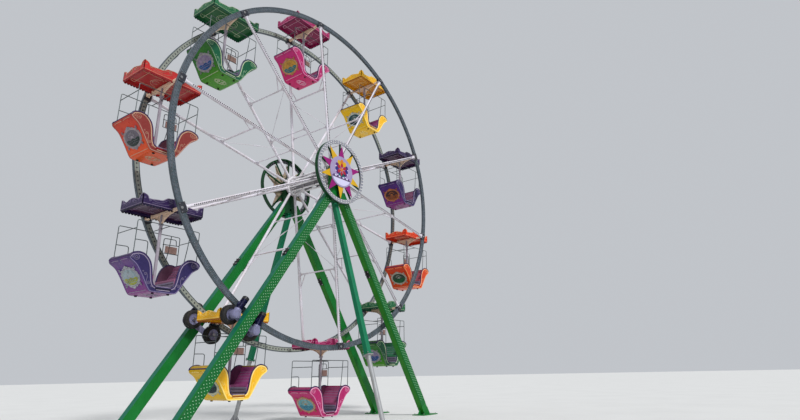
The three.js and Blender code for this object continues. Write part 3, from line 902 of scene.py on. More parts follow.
def makeHub():
    look = hubLook
    shape = Shape()
    bolts = []
    inner, outer = look["innerFace"], look["outerFace"]
    # The sleeve and the two discs take paint 1, the painted shade grey
    shape.add(lathe(band(0.152, look["sleeve"], -outer, outer), 40, hub), 1)
    corner = look["apothem"] / cos(pi / gondolaCount)
    edge = corner - 0.008
    start = spokeAngles[0] + pi / gondolaCount
    for side in (-1, 1):
        low, high = sorted((side * inner, side * outer))
        rim = [(0.2, low), (edge, low), (corner, low + 0.008), (corner, high - 0.008), (edge, high),
               (0.2, high)]
        shape.add(lathe(rim, gondolaCount, hub, start))
        boss = [(0.155, outer), (0.27, outer), (0.26, outer + 0.02), (0.155, outer + 0.02)]
        shape.add(lathe([(radius, side * y) for radius, y in boss], 32, hub))
        middle = side * look["discAt"]
        shape.add(lathe(band(0.2, look["disc"], middle - 0.012, middle + 0.012), 40, hub), 1)
        rib = web([(side * inner, 0.40), (side * (inner - 0.24), 0.22), (side * inner, 0.22)], 0.006, 0.001)
        for angle in spokeAngles:
            shape.add(rib, 0, turned(angle + pi / gondolaCount) @ quarterTurn)
            for reach in (0.30, 0.385):
                spot = turned(angle) @ Vector((0, side * (outer + 0.006), reach))
                bolts.append((spot, (0, side, 0), (1, 0, 0)))
    for angle in spokeAngles:
        bar = boxAt((look["bar"], 2 * inner + 0.02, look["bar"]), (0, 0, look["cageRadius"]), 0.008)
        shape.add(bar, 0, turned(angle))
    makePiece("hub_drum", shape, "wheel", ["hubPaint", "hubShadeGrey"], ("hub",))
    growStuds("hub_bolts", "wheel", (6, 0.018, 0.017, 0.014), bolts)


makeHub()
print("Hub is in place")


# Towers
towerLook = {"lean": 0.6673, "crossing": 0.475, "legY": 1.4, "legWidth": 0.34, "legDepth": 0.26,
             "splice": 3.85, "panelWidth": 0.28, "panelStart": 1.22, "panelEnd": 9.35, "bulbPitch": 0.13,
             "bulbAcross": 0.068, "bulbRadius": 0.016}
legFace = towerLook["legY"] + towerLook["legDepth"] / 2


def legPoint(sideX, depth, y, across=0.0):
    look = towerLook
    along = Vector((sideX * look["lean"], 0, -1)).normalized()
    outward = Vector((-along.z * sideX, 0, along.x * sideX))
    x = sideX * look["lean"] * (depth - look["crossing"])
    return Vector((x, y, hub.z - depth)) + outward * across


def makeLegDetails(word, side, sideWord, sideX):
    look = towerLook
    name = f"leg_{word}_{sideWord}"
    dressNode(name, "towerGreen")
    along = (legPoint(sideX, 2, 0) - legPoint(sideX, 1, 0)).normalized()
    shape = Shape()
    face = side * legFace
    bulbs, bolts = [], []

    def strip(begin, end, y, across, width, depth, paint):
        ends = [legPoint(sideX, down, y, across) for down in (begin, end)]
        shape.add(barAlong(*ends, width, depth, (0, 1, 0), 0.002), paint)

    begin, end = look["panelStart"], look["panelEnd"]
    # The bulb panel, in the darker green that is painted shade
    strip(begin, end, face + side * 0.006, 0.0, 0.012, look["panelWidth"], 0)
    step = look["bulbPitch"] * abs(along.z)
    for row, k in product(range(int((end - begin - 0.16) / step)), range(4)):
        depth = begin + 0.07 + (row + 0.5 * (k % 2)) * step
        across = (k - 1.5) * look["bulbAcross"]
        bulbs.append((legPoint(sideX, depth, face + side * 0.014, across), (0, side, 0), (1, 0, 0)))
    for edge in (-1, 1):
        strip(begin, end, face + side * 0.008, edge * (look["panelWidth"] / 2 + 0.016), 0.016, 0.018, 1)
    # Strips along the leg sides: painted shade on the outward face, painted light on the inward face
    strip(0.96, 9.6, side * look["legY"], look["legWidth"] / 2, look["legDepth"] - 0.02, 0.008, 3)
    strip(1.18, 9.6, side * look["legY"], -look["legWidth"] / 2, look["legDepth"] - 0.02, 0.008, 4)
    splice = look["splice"]
    for edge in (-1, 1):
        outer = look["legWidth"] / 2 + 0.03
        centre = legPoint(sideX, splice, side * look["legY"], edge * outer)
        shape.add(barAlong(centre - along * 0.17, centre + along * 0.17, 0.20, 0.014, (0, 1, 0), 0.003), 2)
        shape.add(tube([centre + Vector((0, -0.11, 0)), centre + Vector((0, 0.11, 0))], 0.03, 14), 2)
    outward = (legPoint(sideX, 5, 0, 1) - legPoint(sideX, 5, 0)).normalized()
    for dy, down, edge in product((-0.08, 0.08), (-0.12, 0.12), (-1, 1)):
        spot = legPoint(sideX, splice, side * look["legY"] + dy, edge * (look["legWidth"] / 2 + 0.042))
        bolts.append((spot + along * down, outward * edge, (0, 1, 0)))
    foot = legPoint(sideX, hub.z, side * look["legY"])
    for dx, dy in product((-0.46, 0, 0.46), (-0.25, 0.25)):
        bolts.append((Vector((foot.x + dx, foot.y + dy, 0.055)), (0, 0, 1), (1, 0, 0)))
    for dx in (-0.36, 0.36):
        spot = Matrix.Translation((foot.x + dx * 0.78 - sideX * 0.1, foot.y, 0))
        shape.add(web([(0, 0.04), (dx * 0.55, 0.04), (0, 0.34)], 0.008), 1, spot)
    makePiece(name + "_fittings", shape, "stand",
              ["panelShadeGreen", "towerGreen", "footBlack", "outerPaintedShadeTeal", "innerPaintedLightGreen"])
    growBeads(name + "_bulbs", "stand", look["bulbRadius"], 0.012, bulbs, "legBulb")
    growStuds(name + "_bolts", "stand", (6, 0.024, 0.022, 0.024), bolts)


def makeHeadDetails(word, side):
    name = f"head_{word}"
    dressNode(name, "darkGreen" if side > 0 else "towerGreen")
    low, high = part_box(name)
    shape = Shape()
    bolts = []
    for face, out in ((low.y, -1), (high.y, 1)):
        housing = [(0.152, face), (0.235, face), (0.235, face + out * 0.006), (0.22, face + out * 0.012),
                   (0.152, face + out * 0.012)]
        shape.add(lathe(housing, 32, hub), 0)
        bolts += boltCircle(hub, 0.19, face + out * 0.018, 8, out)
    for out, z, dy in product((-1, 1), (low.z + 0.10, high.z - 0.25), (-0.07, 0.07)):
        x = high.x if out > 0 else low.x
        bolts.append((Vector((x + out * 0.008, side * towerLook["legY"] + dy, z)), (out, 0, 0), (0, 1, 0)))
    lid = (high.x - low.x + 0.02, high.y - low.y + 0.02, 0.016)
    middle = (low + high) / 2
    shape.add(boxAt(lid, (middle.x, middle.y, high.z + 0.008), 0.004), 1)
    makePiece(name + "_fittings", shape, "stand", ["bearingSteel", "darkGreen"])
    growStuds(name + "_bolts", "stand", (6, 0.017, 0.016, 0.016), bolts)


braceLook = {"offset": 0.973, "lean": 0.309, "flange": 7.33, "top": 1.2503, "box": 0.2, "pipe": 0.085}


def makeBrace(word, side):
    look = braceLook
    name = f"brace_{word}"

    def at(depth):
        return Vector((0, side * (look["offset"] + look["lean"] * depth), hub.z - depth))

    shape = Shape()
    along = (at(5) - at(4)).normalized()
    top, flange = at(look["top"] + 0.02), at(look["flange"])
    shape.add(barAlong(top, flange, look["box"], look["box"], (1, 0, 0), 0.012), 0)
    shape.add(boxAt((0.3, 0.24, 0.02), at(look["top"]) + Vector((0, 0, -0.012)), 0.004), 0)
    for shift in (-0.016, 0.016):
        centre = flange + along * shift
        shape.add(barAlong(centre - along * 0.014, centre + along * 0.014, 0.28, 0.28, (1, 0, 0), 0.004),
                  0 if shift < 0 else 1)
    foot = at(hub.z)
    length, pipe = (foot - flange).length, look["pipe"]
    stations = [(0.0, 0.1), (length * 0.05, pipe), (length * 0.9, pipe), (length * 0.985, pipe)]
    shape.add(rodAlong(flange, along, stations, 24), 1)
    shape.add(boxAt((0.64, 0.64, 0.04), (0, foot.y, 0.02), 0.006), 1)
    for turn in range(4):
        place = Matrix.Translation((0, foot.y - side * 0.03, 0)) @ Matrix.Rotation(turn * pi / 2, 4, "Z")
        shape.add(web([(0.07, 0.04), (0.26, 0.04), (0.07, 0.30)], 0.008), 1, place)
    bolts = []
    for dx, dy in product((-0.25, 0.25), repeat=2):
        bolts.append((Vector((dx, foot.y + dy, 0.052)), (0, 0, 1), (1, 0, 0)))
    across = along.cross(Vector((1, 0, 0)))
    for dx, dy in product((-0.115, 0.115), repeat=2):
        for way in (along, -along):
            bolts.append((flange + way * 0.04 + Vector((dx, 0, 0)) + across * dy, way, (1, 0, 0)))
    makePiece(name + "_post", shape, "stand", ["braceGreen", "pipeGrey"], (name,))
    growStuds(name + "_bolts", "stand", (6, 0.022, 0.02, 0.024), bolts)


for word, side in sides.items():
    for sideWord, sideX in (("left", -1), ("right", 1)):
        makeLegDetails(word, side, sideWord, sideX)
    makeHeadDetails(word, side)
    makeBrace(word, side)
dressNode("axle", "axleSteel")
print("Towers are in place")


# Star discs
starLook = {"back": 1.5443, "radius": 1.35, "ringInner": 1.185, "hoopInner": 1.31, "hoopEnd": 0.16,
            "faceEnd": 0.18, "rayLow": 0.134, "rayHigh": 0.150, "plateRadius": 0.665, "plateStart": 0.148,
            "plateEnd": 0.174, "boss": 0.26, "bossEnd": 0.15, "rayRoot": 0.56, "rayTip": 1.175,
            "rayHalf": 0.19, "bar": 0.06, "bulbRadius": 0.021, "bulbRows": ((1.232, 52), (1.302, 56))}
faceFinishes = ["starGrey", "rayMagenta", "rayYellow", "rayBack"]
plateFinishes = ["starPlate", "motifRed", "motifOrange", "motifBlue", "motifTeal", "motifWhite", "motorBlack",
                 "rayBack", "rayYellow", "motifPurple"]
# The flower on the plate: turn of each outer petal in degrees and its number in plateFinishes
outerPetals = ((-30, 8), (0, 2), (30, 8), (-62, 9), (62, 9), (-95, 3), (95, 3), (-125, 9), (125, 9),
               (-155, 4), (180, 4), (155, 4))


# A flat shape on a star disc, from low to high over its back
def motifPart(outline, side, low, high):
    return slab(outline, *sorted((side * low, side * high)), 0.0015)


def petal(angle, inner, outer, width):
    middle = (inner + outer) / 2
    line = [(0, inner), (width * 0.6, inner + (middle - inner) * 0.5), (width, middle + 0.02),
            (width * 0.6, outer - 0.02), (0, outer)]
    curve = [tuple(point) for point in smoothLine(line, 4)]
    outline = curve + [(-x, z) for x, z in reversed(curve[1:-1])]
    return [(x * cos(angle) + z * sin(angle), -x * sin(angle) + z * cos(angle)) for x, z in outline]


def starSpan(side, low, high):
    return sorted(side * (starLook["back"] + reach) for reach in (low, high))


def makeStarFrame(name, side, places):
    look = starLook
    shape = Shape()
    shape.add(lathe(band(look["hoopInner"], look["radius"], *starSpan(side, 0, look["hoopEnd"])), 96, hub))
    shape.add(lathe(band(0.0, look["boss"], *starSpan(side, 0, look["bossEnd"])), 40, hub))
    first, last, thick = 0.2, look["radius"] - 0.01, look["bar"]
    y = look["back"] + thick / 2
    for place in places:
        shape.add(boxAt((thick, thick, last - first), (0, side * y, (first + last) / 2), 0.006), 0, place)
        for reach in (look["rayRoot"] + 0.08, look["rayTip"] - 0.12):
            shape.add(boxAt((0.04, 0.074, 0.03), (0, side * (y + 0.0675), reach), 0.003), 0, place)
    makePiece(name + "_frame", shape, "stand", ["darkGreen"], (name,))


def makeStarFace(name, side, places):
    look = starLook
    shape = Shape()
    low, high = starSpan(side, look["hoopEnd"], look["faceEnd"])
    inner, outer, edge = look["ringInner"], look["radius"], 0.004
    ring = [(inner, low), (outer - edge, low), (outer, low + edge), (outer, high - edge),
            (outer - edge, high), (inner + edge, high), (inner, high - edge)]
    shape.add(lathe(ring, 96, hub))
    half, root = look["rayHalf"], look["rayRoot"]
    ray = [(-half, root), (half, root), (0, look["rayTip"])]
    low, high = look["back"] + look["rayLow"], look["back"] + look["rayHigh"]
    for k, place in enumerate(places):
        shape.add(motifPart(ray, side, low + 0.006, high), 2 if k % 2 else 1, place)
        shape.add(motifPart(inset(ray, edge), side, low, low + 0.007), 3, place)
    makePiece(name + "_face", shape, "stand", faceFinishes)


# The round plate: a flower over a row of balls and a white lower field
def makeStarPlate(name, side):
    look = starLook
    shape = Shape()
    low, high = starSpan(side, look["plateStart"], look["plateEnd"])
    radius, facets = look["plateRadius"], 72
    disc = [(0.0, low), (radius - 0.006, low), (radius, low + 0.006), (radius, high - 0.006),
            (radius - 0.006, high), (0.0, high)]
    shape.add(lathe(disc, facets, hub))
    hidden = slice(0, facets) if side > 0 else slice(-facets, None)
    shape.paints[hidden] = [plateFinishes.index("rayBack")] * facets
    front = look["back"] + look["plateEnd"]
    field = [(0.6 * sin(radians(a)), 0.6 * cos(radians(a))) for a in range(122, 239, 6)]
    shape.add(motifPart(field, side, front - 0.002, front + 0.003), 5, Matrix.Translation(hub))
    shape.add(boxAt((1.08, 0.006, 0.028), hub + Vector((0, side * (front + 0.003), -0.29)), 0.002), 6)
    heart = hub + Vector((0, 0, 0.09))
    # Petals: turn, inner and outer reach, half width and paint
    petals = [(turn, 0.16, 0.45 - 0.0007 * abs(turn), 0.10, paint) for turn, paint in outerPetals]
    petals += [(turn, 0.06, 0.27, 0.075, 1) for turn in range(0, 360, 60)]
    petals += [(turn, 0.27, 0.40, 0.032, 5) for turn in (-140, -110, -78, 78, 110, 140)]
    for step, (turn, inner, outer, half, paint) in enumerate(petals):
        rise = front + 0.003 + 0.001 * (step % 3) + (0.002 if paint == 1 else 0.0)
        leaf = motifPart(petal(radians(turn), inner, outer, half), side, front - 0.002, rise)
        shape.add(leaf, paint, Matrix.Translation(heart))

    def addKnob(inner, outer, rise, facets, spot, paint):
        dome = [(0.0, front + rise), (inner, front + rise - 0.001), (outer, front), (0.0, front)]
        shape.add(lathe([(r, side * y) for r, y in dome], facets, spot), paint)

    for k in range(9):
        addKnob(0.036, 0.044, 0.006, 12, hub + Vector((0.11 * (k - 4), 0, -0.235)), 5 if k % 2 else 9)
    addKnob(0.07, 0.08, 0.009, 32, heart, 2)
    makePiece(name + "_plate", shape, "stand", plateFinishes)


def makeStar(word, side):
    look = starLook
    name = f"star_{word}"
    places = [turned(2 * pi * k / gondolaCount) for k in range(gondolaCount)]
    makeStarFrame(name, side, places)
    makeStarFace(name, side, places)
    makeStarPlate(name, side)
    bulbs, cups = [], []
    for radius, count in look["bulbRows"]:
        for angle in (2 * pi * k / count for k in range(count)):
            bulb = onWheel(radius, angle, side * (look["back"] + look["faceEnd"] + 0.004))
            cup = onWheel(radius, angle, side * (look["back"] + look["hoopEnd"] - 0.012))
            bulbs.append((bulb, (0, side, 0), (1, 0, 0)))
            cups.append((cup, (0, -side, 0), (1, 0, 0)))
    growBeads(name + "_bulbs", "stand", look["bulbRadius"], 0.012, bulbs, "bulbGlass")
    growStuds(name + "_sockets", "stand", (8, 0.026, 0.02, 0.03), cups, "socketDark")


for word, side in sides.items():
    makeStar(word, side)
print("Star discs are in place")


# Drive
driveLook = {"inner": 1.145, "outer": 1.4197, "beamY": 1.2397, "beamDepth": 0.2, "beamThickness": 0.06,
             "motorY": 1.2747, "fins": 18, "finStart": 0.17, "finSpan": 0.32, "tyreRadius": 0.32,
             "tyreHalf": 0.11, "treads": 40, "treadSize": (0.07, 0.028, 0.012), "treadTurn": 0.35}
driveFinishes = ["driveGrey", "axleSteel", "motorNavy", "motorBlack"]
# Motor: distance along it, radius, and from there on the number in driveFinishes
motorStations = [(0.0, 0.125, 0), (0.10, 0.125, 0), (0.105, 0.132, 0), (0.125, 0.132, 0), (0.13, 0.095, 2),
                 (0.15, 0.095, 2), (0.155, 0.105, 2), (0.50, 0.105, 3), (0.505, 0.118, 3), (0.60, 0.118, 3),
                 (0.62, 0.10, 3), (0.62, 0.03, 3)]
tyreJoints = {word: [Vector(joints[f"tyre_{word}_{k}_spin"]["pos_m"]) for k in (1, 2)] for word in sides}


def addMotor(shape, foot, along):
    facets = 24
    start = len(shape.faces)
    shape.add(rodAlong(foot, along, [station[:2] for station in motorStations], facets), 2)
    for row, station in enumerate(motorStations[:-1]):
        first = start + row * facets
        shape.paints[first:first + facets] = [station[2]] * facets
    across = along.cross(Vector((0, 1, 0))) * 0.115
    ends = foot + along * 0.25 + across, foot + along * 0.37 + across
    shape.add(barAlong(*ends, 0.09, 0.05, (0, 1, 0), 0.01), 2)


def makeDrive(word, side):
    look = driveLook
    shape = Shape()
    fins, bolts = [], []
    inner, outer = look["inner"], look["outer"]
    box = [(0.0, inner), (0.105, inner), (0.12, inner + 0.015), (0.12, inner + 0.05), (0.15, inner + 0.06),
           (0.15, outer - 0.03), (0.135, outer - 0.008), (0.06, outer), (0.0, outer)]
    shaft = band(0.0, 0.045, 0.89, inner + 0.02)
    ends = [Vector((centre.x, side * look["beamY"], centre.z)) for centre in tyreJoints[word]]
    shape.add(barAlong(*ends, look["beamThickness"], look["beamDepth"], (0, 1, 0), 0.008))
    for centre in tyreJoints[word]:
        along = Vector((hub.x - centre.x, 0, hub.z - centre.z)).normalized()
        axis = Vector((centre.x, 0, centre.z))
        shape.add(lathe([(r, side * y) for r, y in box], 36, axis))
        shape.add(lathe([(r, side * y) for r, y in shaft], 20, axis), 1)
        bolts += boltCircle(axis, 0.1, side * (outer + 0.002), 8, side)
        foot = axis + Vector((0, side * look["motorY"], 0)) + along * 0.06
        addMotor(shape, foot, along)
        for k in range(look["fins"]):
            distance = look["finStart"] + look["finSpan"] * k / (look["fins"] - 1)
            fins.append((foot + along * distance, along, (0, 1, 0)))
    makePiece(f"drive_{word}_gear", shape, "stand", driveFinishes, (f"drive_{word}",))
    growStuds(f"drive_{word}_fins", "stand", (20, 0.118, 0.118, 0.005), fins, "motorNavy")
    growStuds(f"drive_{word}_bolts", "stand", (6, 0.011, 0.010, 0.012), bolts)


def makeTyre(word, number):
    look = driveLook
    name = f"tyre_{word}_{number}"
    body = f"drive_{name}"
    centre = tyreJoints[word][number - 1]
    half, radius = look["tyreHalf"], look["tyreRadius"] - 0.006
    shape = Shape()
    wall = [(0.185, -half + 0.02), (0.2, -half + 0.004), (0.235, -half), (0.275, -half + 0.004),
            (radius - 0.022, -half + 0.014), (radius - 0.008, -half + 0.028), (radius, -half + 0.05)]
    shape.add(lathe(wall + [(r, -y) for r, y in reversed(wall)], 48, centre))
    disc = [(0.0, -0.03), (0.06, -0.03), (0.075, -0.055), (0.14, -0.06), (0.165, -0.085), (0.188, -0.092)]
    shape.add(lathe(disc + [(r, -y) for r, y in reversed(disc)], 36, centre), 1)
    cap = [(0.0, 0.095), (0.04, 0.092), (0.055, 0.08), (0.055, 0.03), (0.0, 0.03)]
    treads, nuts = [], []
    for out in (-1, 1):
        shape.add(lathe([(r, out * y) for r, y in cap], 20, centre), 1)
        nuts += boltCircle(centre, 0.105, centre.y + out * 0.062, 5, out)
    makePiece(name + "_tyre", shape, body, ["rubber", "driveGrey"], (name,), crease=30)
    for angle, row in product((2 * pi * k / look["treads"] for k in range(look["treads"])), (-1, 1)):
        outward = Vector((sin(angle), 0, cos(angle)))
        lean = look["treadTurn"] * row
        turn = Vector((lean * cos(angle), 1, -lean * sin(angle))).normalized()
        treads.append((centre + outward * radius + Vector((0, row * 0.045, 0)), outward, turn))
    values = {"Size": look["treadSize"], "Lift": -0.001, "Material": "rubber"}
    grow(name + "_treads", "blocks", body, values, spots=treads)
    growStuds(name + "_nuts", body, (6, 0.012, 0.011, 0.014), nuts)


for word, side in sides.items():
    makeDrive(word, side)
    for number in (1, 2):
        makeTyre(word, number)
print("Drive is in place")


# Gondola colours: back from the tub's bottom to its lip, edge of the panels, field of a side panel, line for
# piping, canopy sides, canopy underside, seat, dark for scallops and edge trim
gondolaColours = {
    "green": dict(back=((62, 142, 12), (30, 112, 26), (24, 92, 44)), edge=(44, 98, 64), panel=(6, 78, 50),
                  line=(188, 200, 166), canopy=(26, 96, 58), under=(30, 92, 48), seat=(44, 108, 74),
                  dark=(10, 58, 44)),
    "magenta": dict(back=((206, 30, 104), (204, 34, 112), (190, 40, 118)), edge=(190, 80, 134),
                    panel=(160, 20, 86), line=(232, 186, 206), canopy=(158, 28, 88), under=(132, 24, 74),
                    seat=(150, 66, 108), dark=(84, 14, 52)),
    "yellow": dict(back=((242, 190, 16), (240, 194, 18), (236, 186, 20)), edge=(250, 218, 110),
                   panel=(232, 172, 10), line=(246, 226, 150), canopy=(234, 174, 12), under=(204, 130, 12),
                   seat=(146, 60, 116), dark=(150, 84, 10)),
    "purple": dict(back=((124, 34, 122), (84, 34, 128), (44, 32, 104)), edge=(72, 60, 112),
                   panel=(38, 32, 74), line=(148, 136, 158), canopy=(42, 27, 70), under=(64, 24, 62),
                   seat=(140, 84, 116), dark=(18, 14, 38)),
    "orange": dict(back=((226, 70, 6), (224, 62, 8), (214, 52, 12)), edge=(222, 120, 60), panel=(190, 42, 8),
                   line=(244, 186, 140), canopy=(212, 46, 10), under=(186, 44, 16), seat=(166, 74, 88),
                   dark=(140, 24, 10)),
    "red": dict(back=((226, 80, 8), (204, 48, 20), (184, 40, 28)), edge=(144, 84, 80), panel=(122, 42, 38),
                line=(196, 164, 134), canopy=(182, 42, 42), under=(170, 32, 34), seat=(150, 78, 104),
                dark=(120, 16, 24)),
}
gondolaPaints = ["green", "magenta", "yellow", "purple", "orange", "green", "magenta", "yellow", "purple",
                 "red"]
# Medallion colours of each gondola: frame, high part and low part
medallionShades = [
    ((150, 150, 160), (146, 134, 168), (24, 84, 146)),
    ((190, 140, 70), (200, 146, 54), (14, 120, 132)),
    ((196, 204, 196), (24, 76, 84), (10, 40, 48)),
    ((190, 110, 50), (64, 32, 36), (150, 80, 40)),
    ((186, 186, 176), (60, 74, 62), (22, 106, 58)),
    ((150, 150, 160), (146, 134, 168), (24, 84, 146)),
    ((186, 150, 110), (118, 184, 194), (56, 134, 164)),
    ((200, 204, 190), (24, 76, 84), (10, 40, 48)),
    ((168, 170, 176), (150, 168, 176), (150, 154, 50)),
    ((150, 142, 152), (108, 100, 112), (12, 44, 36)),
]
plainCoats = {
    "line": dict(rough=(0.3, 0.5), streakAmount=0.4, blotchAmount=0.5),
    "scroll": dict(rough=(0.3, 0.5), streakAmount=0.3, blotchAmount=0.3),
    "inside": dict(rough=(0.4, 0.6), blotchAmount=0.4),
    "canopy": dict(rough=(0.3, 0.46), blotchSize=0.3, blotchAmount=0.4, bump=0.12),
    "under": dict(rough=(0.3, 0.46), blotchSize=0.4, blotchAmount=0.25, bump=0.12),
    "seat": dict(rough=(0.4, 0.55), blotchAmount=0.4, bump=0.2),
    "dark": dict(rough=(0.4, 0.6), blotchAmount=0.4),
    "medallion": dict(rough=(0.25, 0.4), blotchSize=0.12, blotchAmount=0.8, streakAmount=0.15),
}


# A shade moved towards white, or towards black for a share below 0
def shifted(shade, share):
    goal = 255 if share > 0 else 0
    return [value + (goal - value) * abs(share) for value in shade]


def plainFinish(name, kind, shade):
    cloud = shifted(shade, -0.4 if kind == "medallion" else 0.16)
    look = dict(colour=shade, blotch=cloud, streak=shifted(shade, -0.45), streakAmount=0.3, chipFrom=0.73)
    finishes[name] = makeFinish(name, {**look, **plainCoats[kind]})


for paint, shades in gondolaColours.items():
    shades["scroll"] = [0.6 * a + 0.4 * b for a, b in zip(shades["line"], shades["panel"])]
    # Inside of the tub sides: the seat colour darkened to 62 percent, as painted shade
    shades["inside"] = [0.62 * value for value in shades["seat"]]
    low, middle, high = shades["back"]
    smooth = dict(rough=(0.26, 0.42), streakAmount=0.3, chipFrom=0.74, bump=0.12)
    backLook = dict(colour=middle, bands=shades["back"], edge=shifted(high, -0.35), blotch=shifted(low, 0.06),
                    blotchAmount=0.45, streak=shifted(middle, -0.45), **smooth)
    panelLook = dict(colour=shades["panel"], edge=shades["edge"], blotch=shifted(shades["panel"], 0.1),
                     blotchAmount=0.25, streak=shifted(shades["panel"], -0.4), **smooth)
    for kind, look in (("back", backLook), ("panel", panelLook)):
        finishes[f"{kind}_{paint}"] = makeFinish(f"{kind}_{paint}", look)
    for kind in ("line", "scroll", "inside", "canopy", "under", "seat", "dark"):
        plainFinish(f"{kind}_{paint}", kind, shades[kind])
for number, shades in zip(numbers, medallionShades):
    for part, shade in zip(("frame", "high", "low"), shades):
        plainFinish(f"{part}_{number}", "medallion", shade)


# Canopies
canopyLook = {"halfLength": 1.0, "halfWidth": 0.64, "wall": 0.03, "low": -0.025, "top": 0.31, "ear": 0.19,
              "earRise": 0.125, "dip": 0.19, "sideHump": 0.35, "endHump": 0.27, "deck": 0.06, "crown": 0.09,
              "line": 0.007, "scallop": 0.05, "scallopDrop": 1.25, "rows": 8, "columns": 12}
# Bows on the underside: distance from the middle, radius, thickness and turns in degrees
deckBows = ((0.14, 0.27, 0.007, range(0, 181, 15)), (0.26, 0.10, 0.006, range(-60, 241, 20)))


def eased(start, end, heightStart, heightEnd, steps):
    line = []
    for step in range(1, steps + 1):
        share = step / steps
        line.append((start + (end - start) * share,
                     heightStart + (heightEnd - heightStart) * (1 - cos(pi * share)) / 2))
    return line


# The top line of a canopy side, from its middle over the hump and the dip to the round ear at the corner
def fasciaTop(half, hump):
    look = canopyLook
    ear = look["ear"]
    line = [(0.0, hump)]
    line += eased(0.0, half * 0.20, hump, hump - 0.02, 3)
    line += eased(half * 0.20, half * 0.42, hump - 0.02, look["dip"] + 0.02, 5)
    line += eased(half * 0.42, half - ear - 0.02, look["dip"] + 0.02, look["dip"] - 0.014, 5)
    for step in range(9):
        angle = radians(180 - 11.25 * step)
        line.append((half + ear * cos(angle), look["top"] - look["earRise"] * (1 - sin(angle))))
    return line


def fasciaOutline(half, hump):
    low = canopyLook["low"]
    right = fasciaTop(half, hump)
    left = [(-x, z) for x, z in right[1:]]
    return [(-half, low), (half, low)] + list(reversed(right)) + left


def canopyEdges():
    look = canopyLook
    long, short = look["halfLength"], look["halfWidth"]
    for side in (-1, 1):
        yield Matrix.Translation((0, side * short, 0)), long, look["sideHump"], side
        turn = Matrix.Translation((side * long, 0, 0)) @ Matrix.Rotation(-pi / 2, 4, "Z")
        yield turn, short, look["endHump"], side


# A thin raised line through points in X and Z at a height y
def drawLine(shape, points, y, radius, paint, place=None):
    shape.add(tube([Vector((x, y, z)) for x, z in points], radius, 6), paint, place)


# Raised border, curls, stroke and leaf line on one side of a canopy
def addFasciaLines(roof, place, half, hump, side):
    look = canopyLook
    low, dip, thin = look["low"], look["dip"], look["line"]
    face = side * 0.002
    border = inset(fasciaOutline(half, hump), 0.016)[2:2 * len(fasciaTop(half, hump)) + 1]
    drawLine(roof, border, face, thin, 2, place)
    drawLine(roof, [(x * 0.97, low + 0.03) for x in (-half, half)], face, thin * 0.8, 2, place)
    reach = 0.15 if half > 0.8 else 0.12
    for hand in (-1, 1):
        # Curls: x, z, radius, turns and sense
        curls = ((reach, hump - 0.105, 0.056, 1.5, hand), (half - 0.235, dip - 0.06, 0.040, 1.3, -hand),
                 (half - 0.060, look["top"] - 0.14, 0.028, 1.2, hand))
        for x, z, radius, turns, sense in curls:
            curl = [place @ point for point in spiral((hand * x, face, z), radius, turns, pi / 2, sense)]
            roof.add(tube(curl, [0.010 - 0.005 * k / len(curl) for k in range(len(curl))], 6), 3)
        start, end = (hand * reach, hump - 0.049), (hand * (half - 0.235), dip - 0.02)
        stroke = [start, ((start[0] + end[0]) / 2, dip - 0.075), end]
        leaf = [(hand * reach * 0.5, hump - 0.15), (hand * reach * 1.7, low + 0.11),
                (hand * (half - 0.30), low + 0.085)]
        for points in (stroke, leaf):
            drawLine(roof, smoothLine(points, 5), face, thin, 3, place)


# The deck: a flat underside and a crowned top, joined along their border
def addDeck(roof):
    look = canopyLook
    long, short = look["halfLength"] - 0.005, look["halfWidth"] - 0.005
    rows, columns = look["rows"], look["columns"]
    width, size = columns + 1, (rows + 1) * (columns + 1)
    points, faces = [], []
    for layer, i, j in product((0, 1), range(rows + 1), range(columns + 1)):
        u, v = 2 * j / columns - 1, 2 * i / rows - 1
        rise = look["crown"] * (1 - u ** 2) * (1 - v ** 2)
        points.append(Vector((u * long, v * short, look["deck"] + layer * (0.035 + rise))))
    for i, j, start in product(range(rows), range(columns), (0, size)):
        a = start + i * width + j
        faces.append((a, a + 1, a + width + 1, a + width))
    border = list(range(width)) + [i * width + columns for i in range(1, rows + 1)]
    border += [rows * width + j for j in range(columns - 1, -1, -1)]
    border += [i * width for i in range(rows - 1, 0, -1)]
    faces += [(a, b, size + b, size + a) for a, b in zip(border, border[1:] + border[:1])]
    first = len(roof.faces)
    roof.add((points, faces))
    for k in range(first, first + 2 * rows * columns, 2):
        roof.paints[k] = 1


# Lines on the underside: a frame with round notches, and two bows with a ring each
def addUndersideLines(roof):
    level = canopyLook["deck"] - 0.003
    long, short, cut = canopyLook["halfLength"] - 0.13, canopyLook["halfWidth"] - 0.12, 0.17
    loop = []
    for sx, sy in ((1, 1), (1, -1), (-1, -1), (-1, 1)):
        turns = [radians(a) for a in range(0, 91, 15)]
        notch = [(sx * (long - cut * (1 - cos(a))), sy * (short - cut * (1 - sin(a))), level) for a in turns]
        loop += notch if sx == sy else notch[::-1]
    roof.add(tube(loop, 0.008, 6, True, (0, 0, 1)), 2)
    for side, (x, reach, thick, turns) in product((-1, 1), deckBows):
        bow = [(side * (x + reach * sin(radians(a))), reach * cos(radians(a)), level) for a in turns]
        roof.add(tube(bow, thick, 6), 2)


# Roof: 0 canopy paint, 1 underside paint, 2 line paint, 3 scroll paint
def makeCanopyShape():
    look = canopyLook
    roof = Shape()
    scallops = []
    wall = look["wall"]
    for place, half, hump, side in canopyEdges():
        low, high = (0.0, wall) if side < 0 else (-wall, 0.0)
        roof.add(slab(fasciaOutline(half, hump), low, high, 0.006), 0, place)
        addFasciaLines(roof, place, half, hump, side)
        span = 2 * (half - 0.03)
        count = int(span / (1.9 * look["scallop"]))
        turn = place.to_3x3()
        for k in range(count):
            spot = Vector(((k - (count - 1) / 2) * span / count, -side * wall / 2, look["low"] + 0.006))
            scallops.append((place @ spot, turn @ Vector((0, side, 0)), turn @ Vector((1, 0, 0))))
    addDeck(roof)
    addUndersideLines(roof)
    return roof, scallops


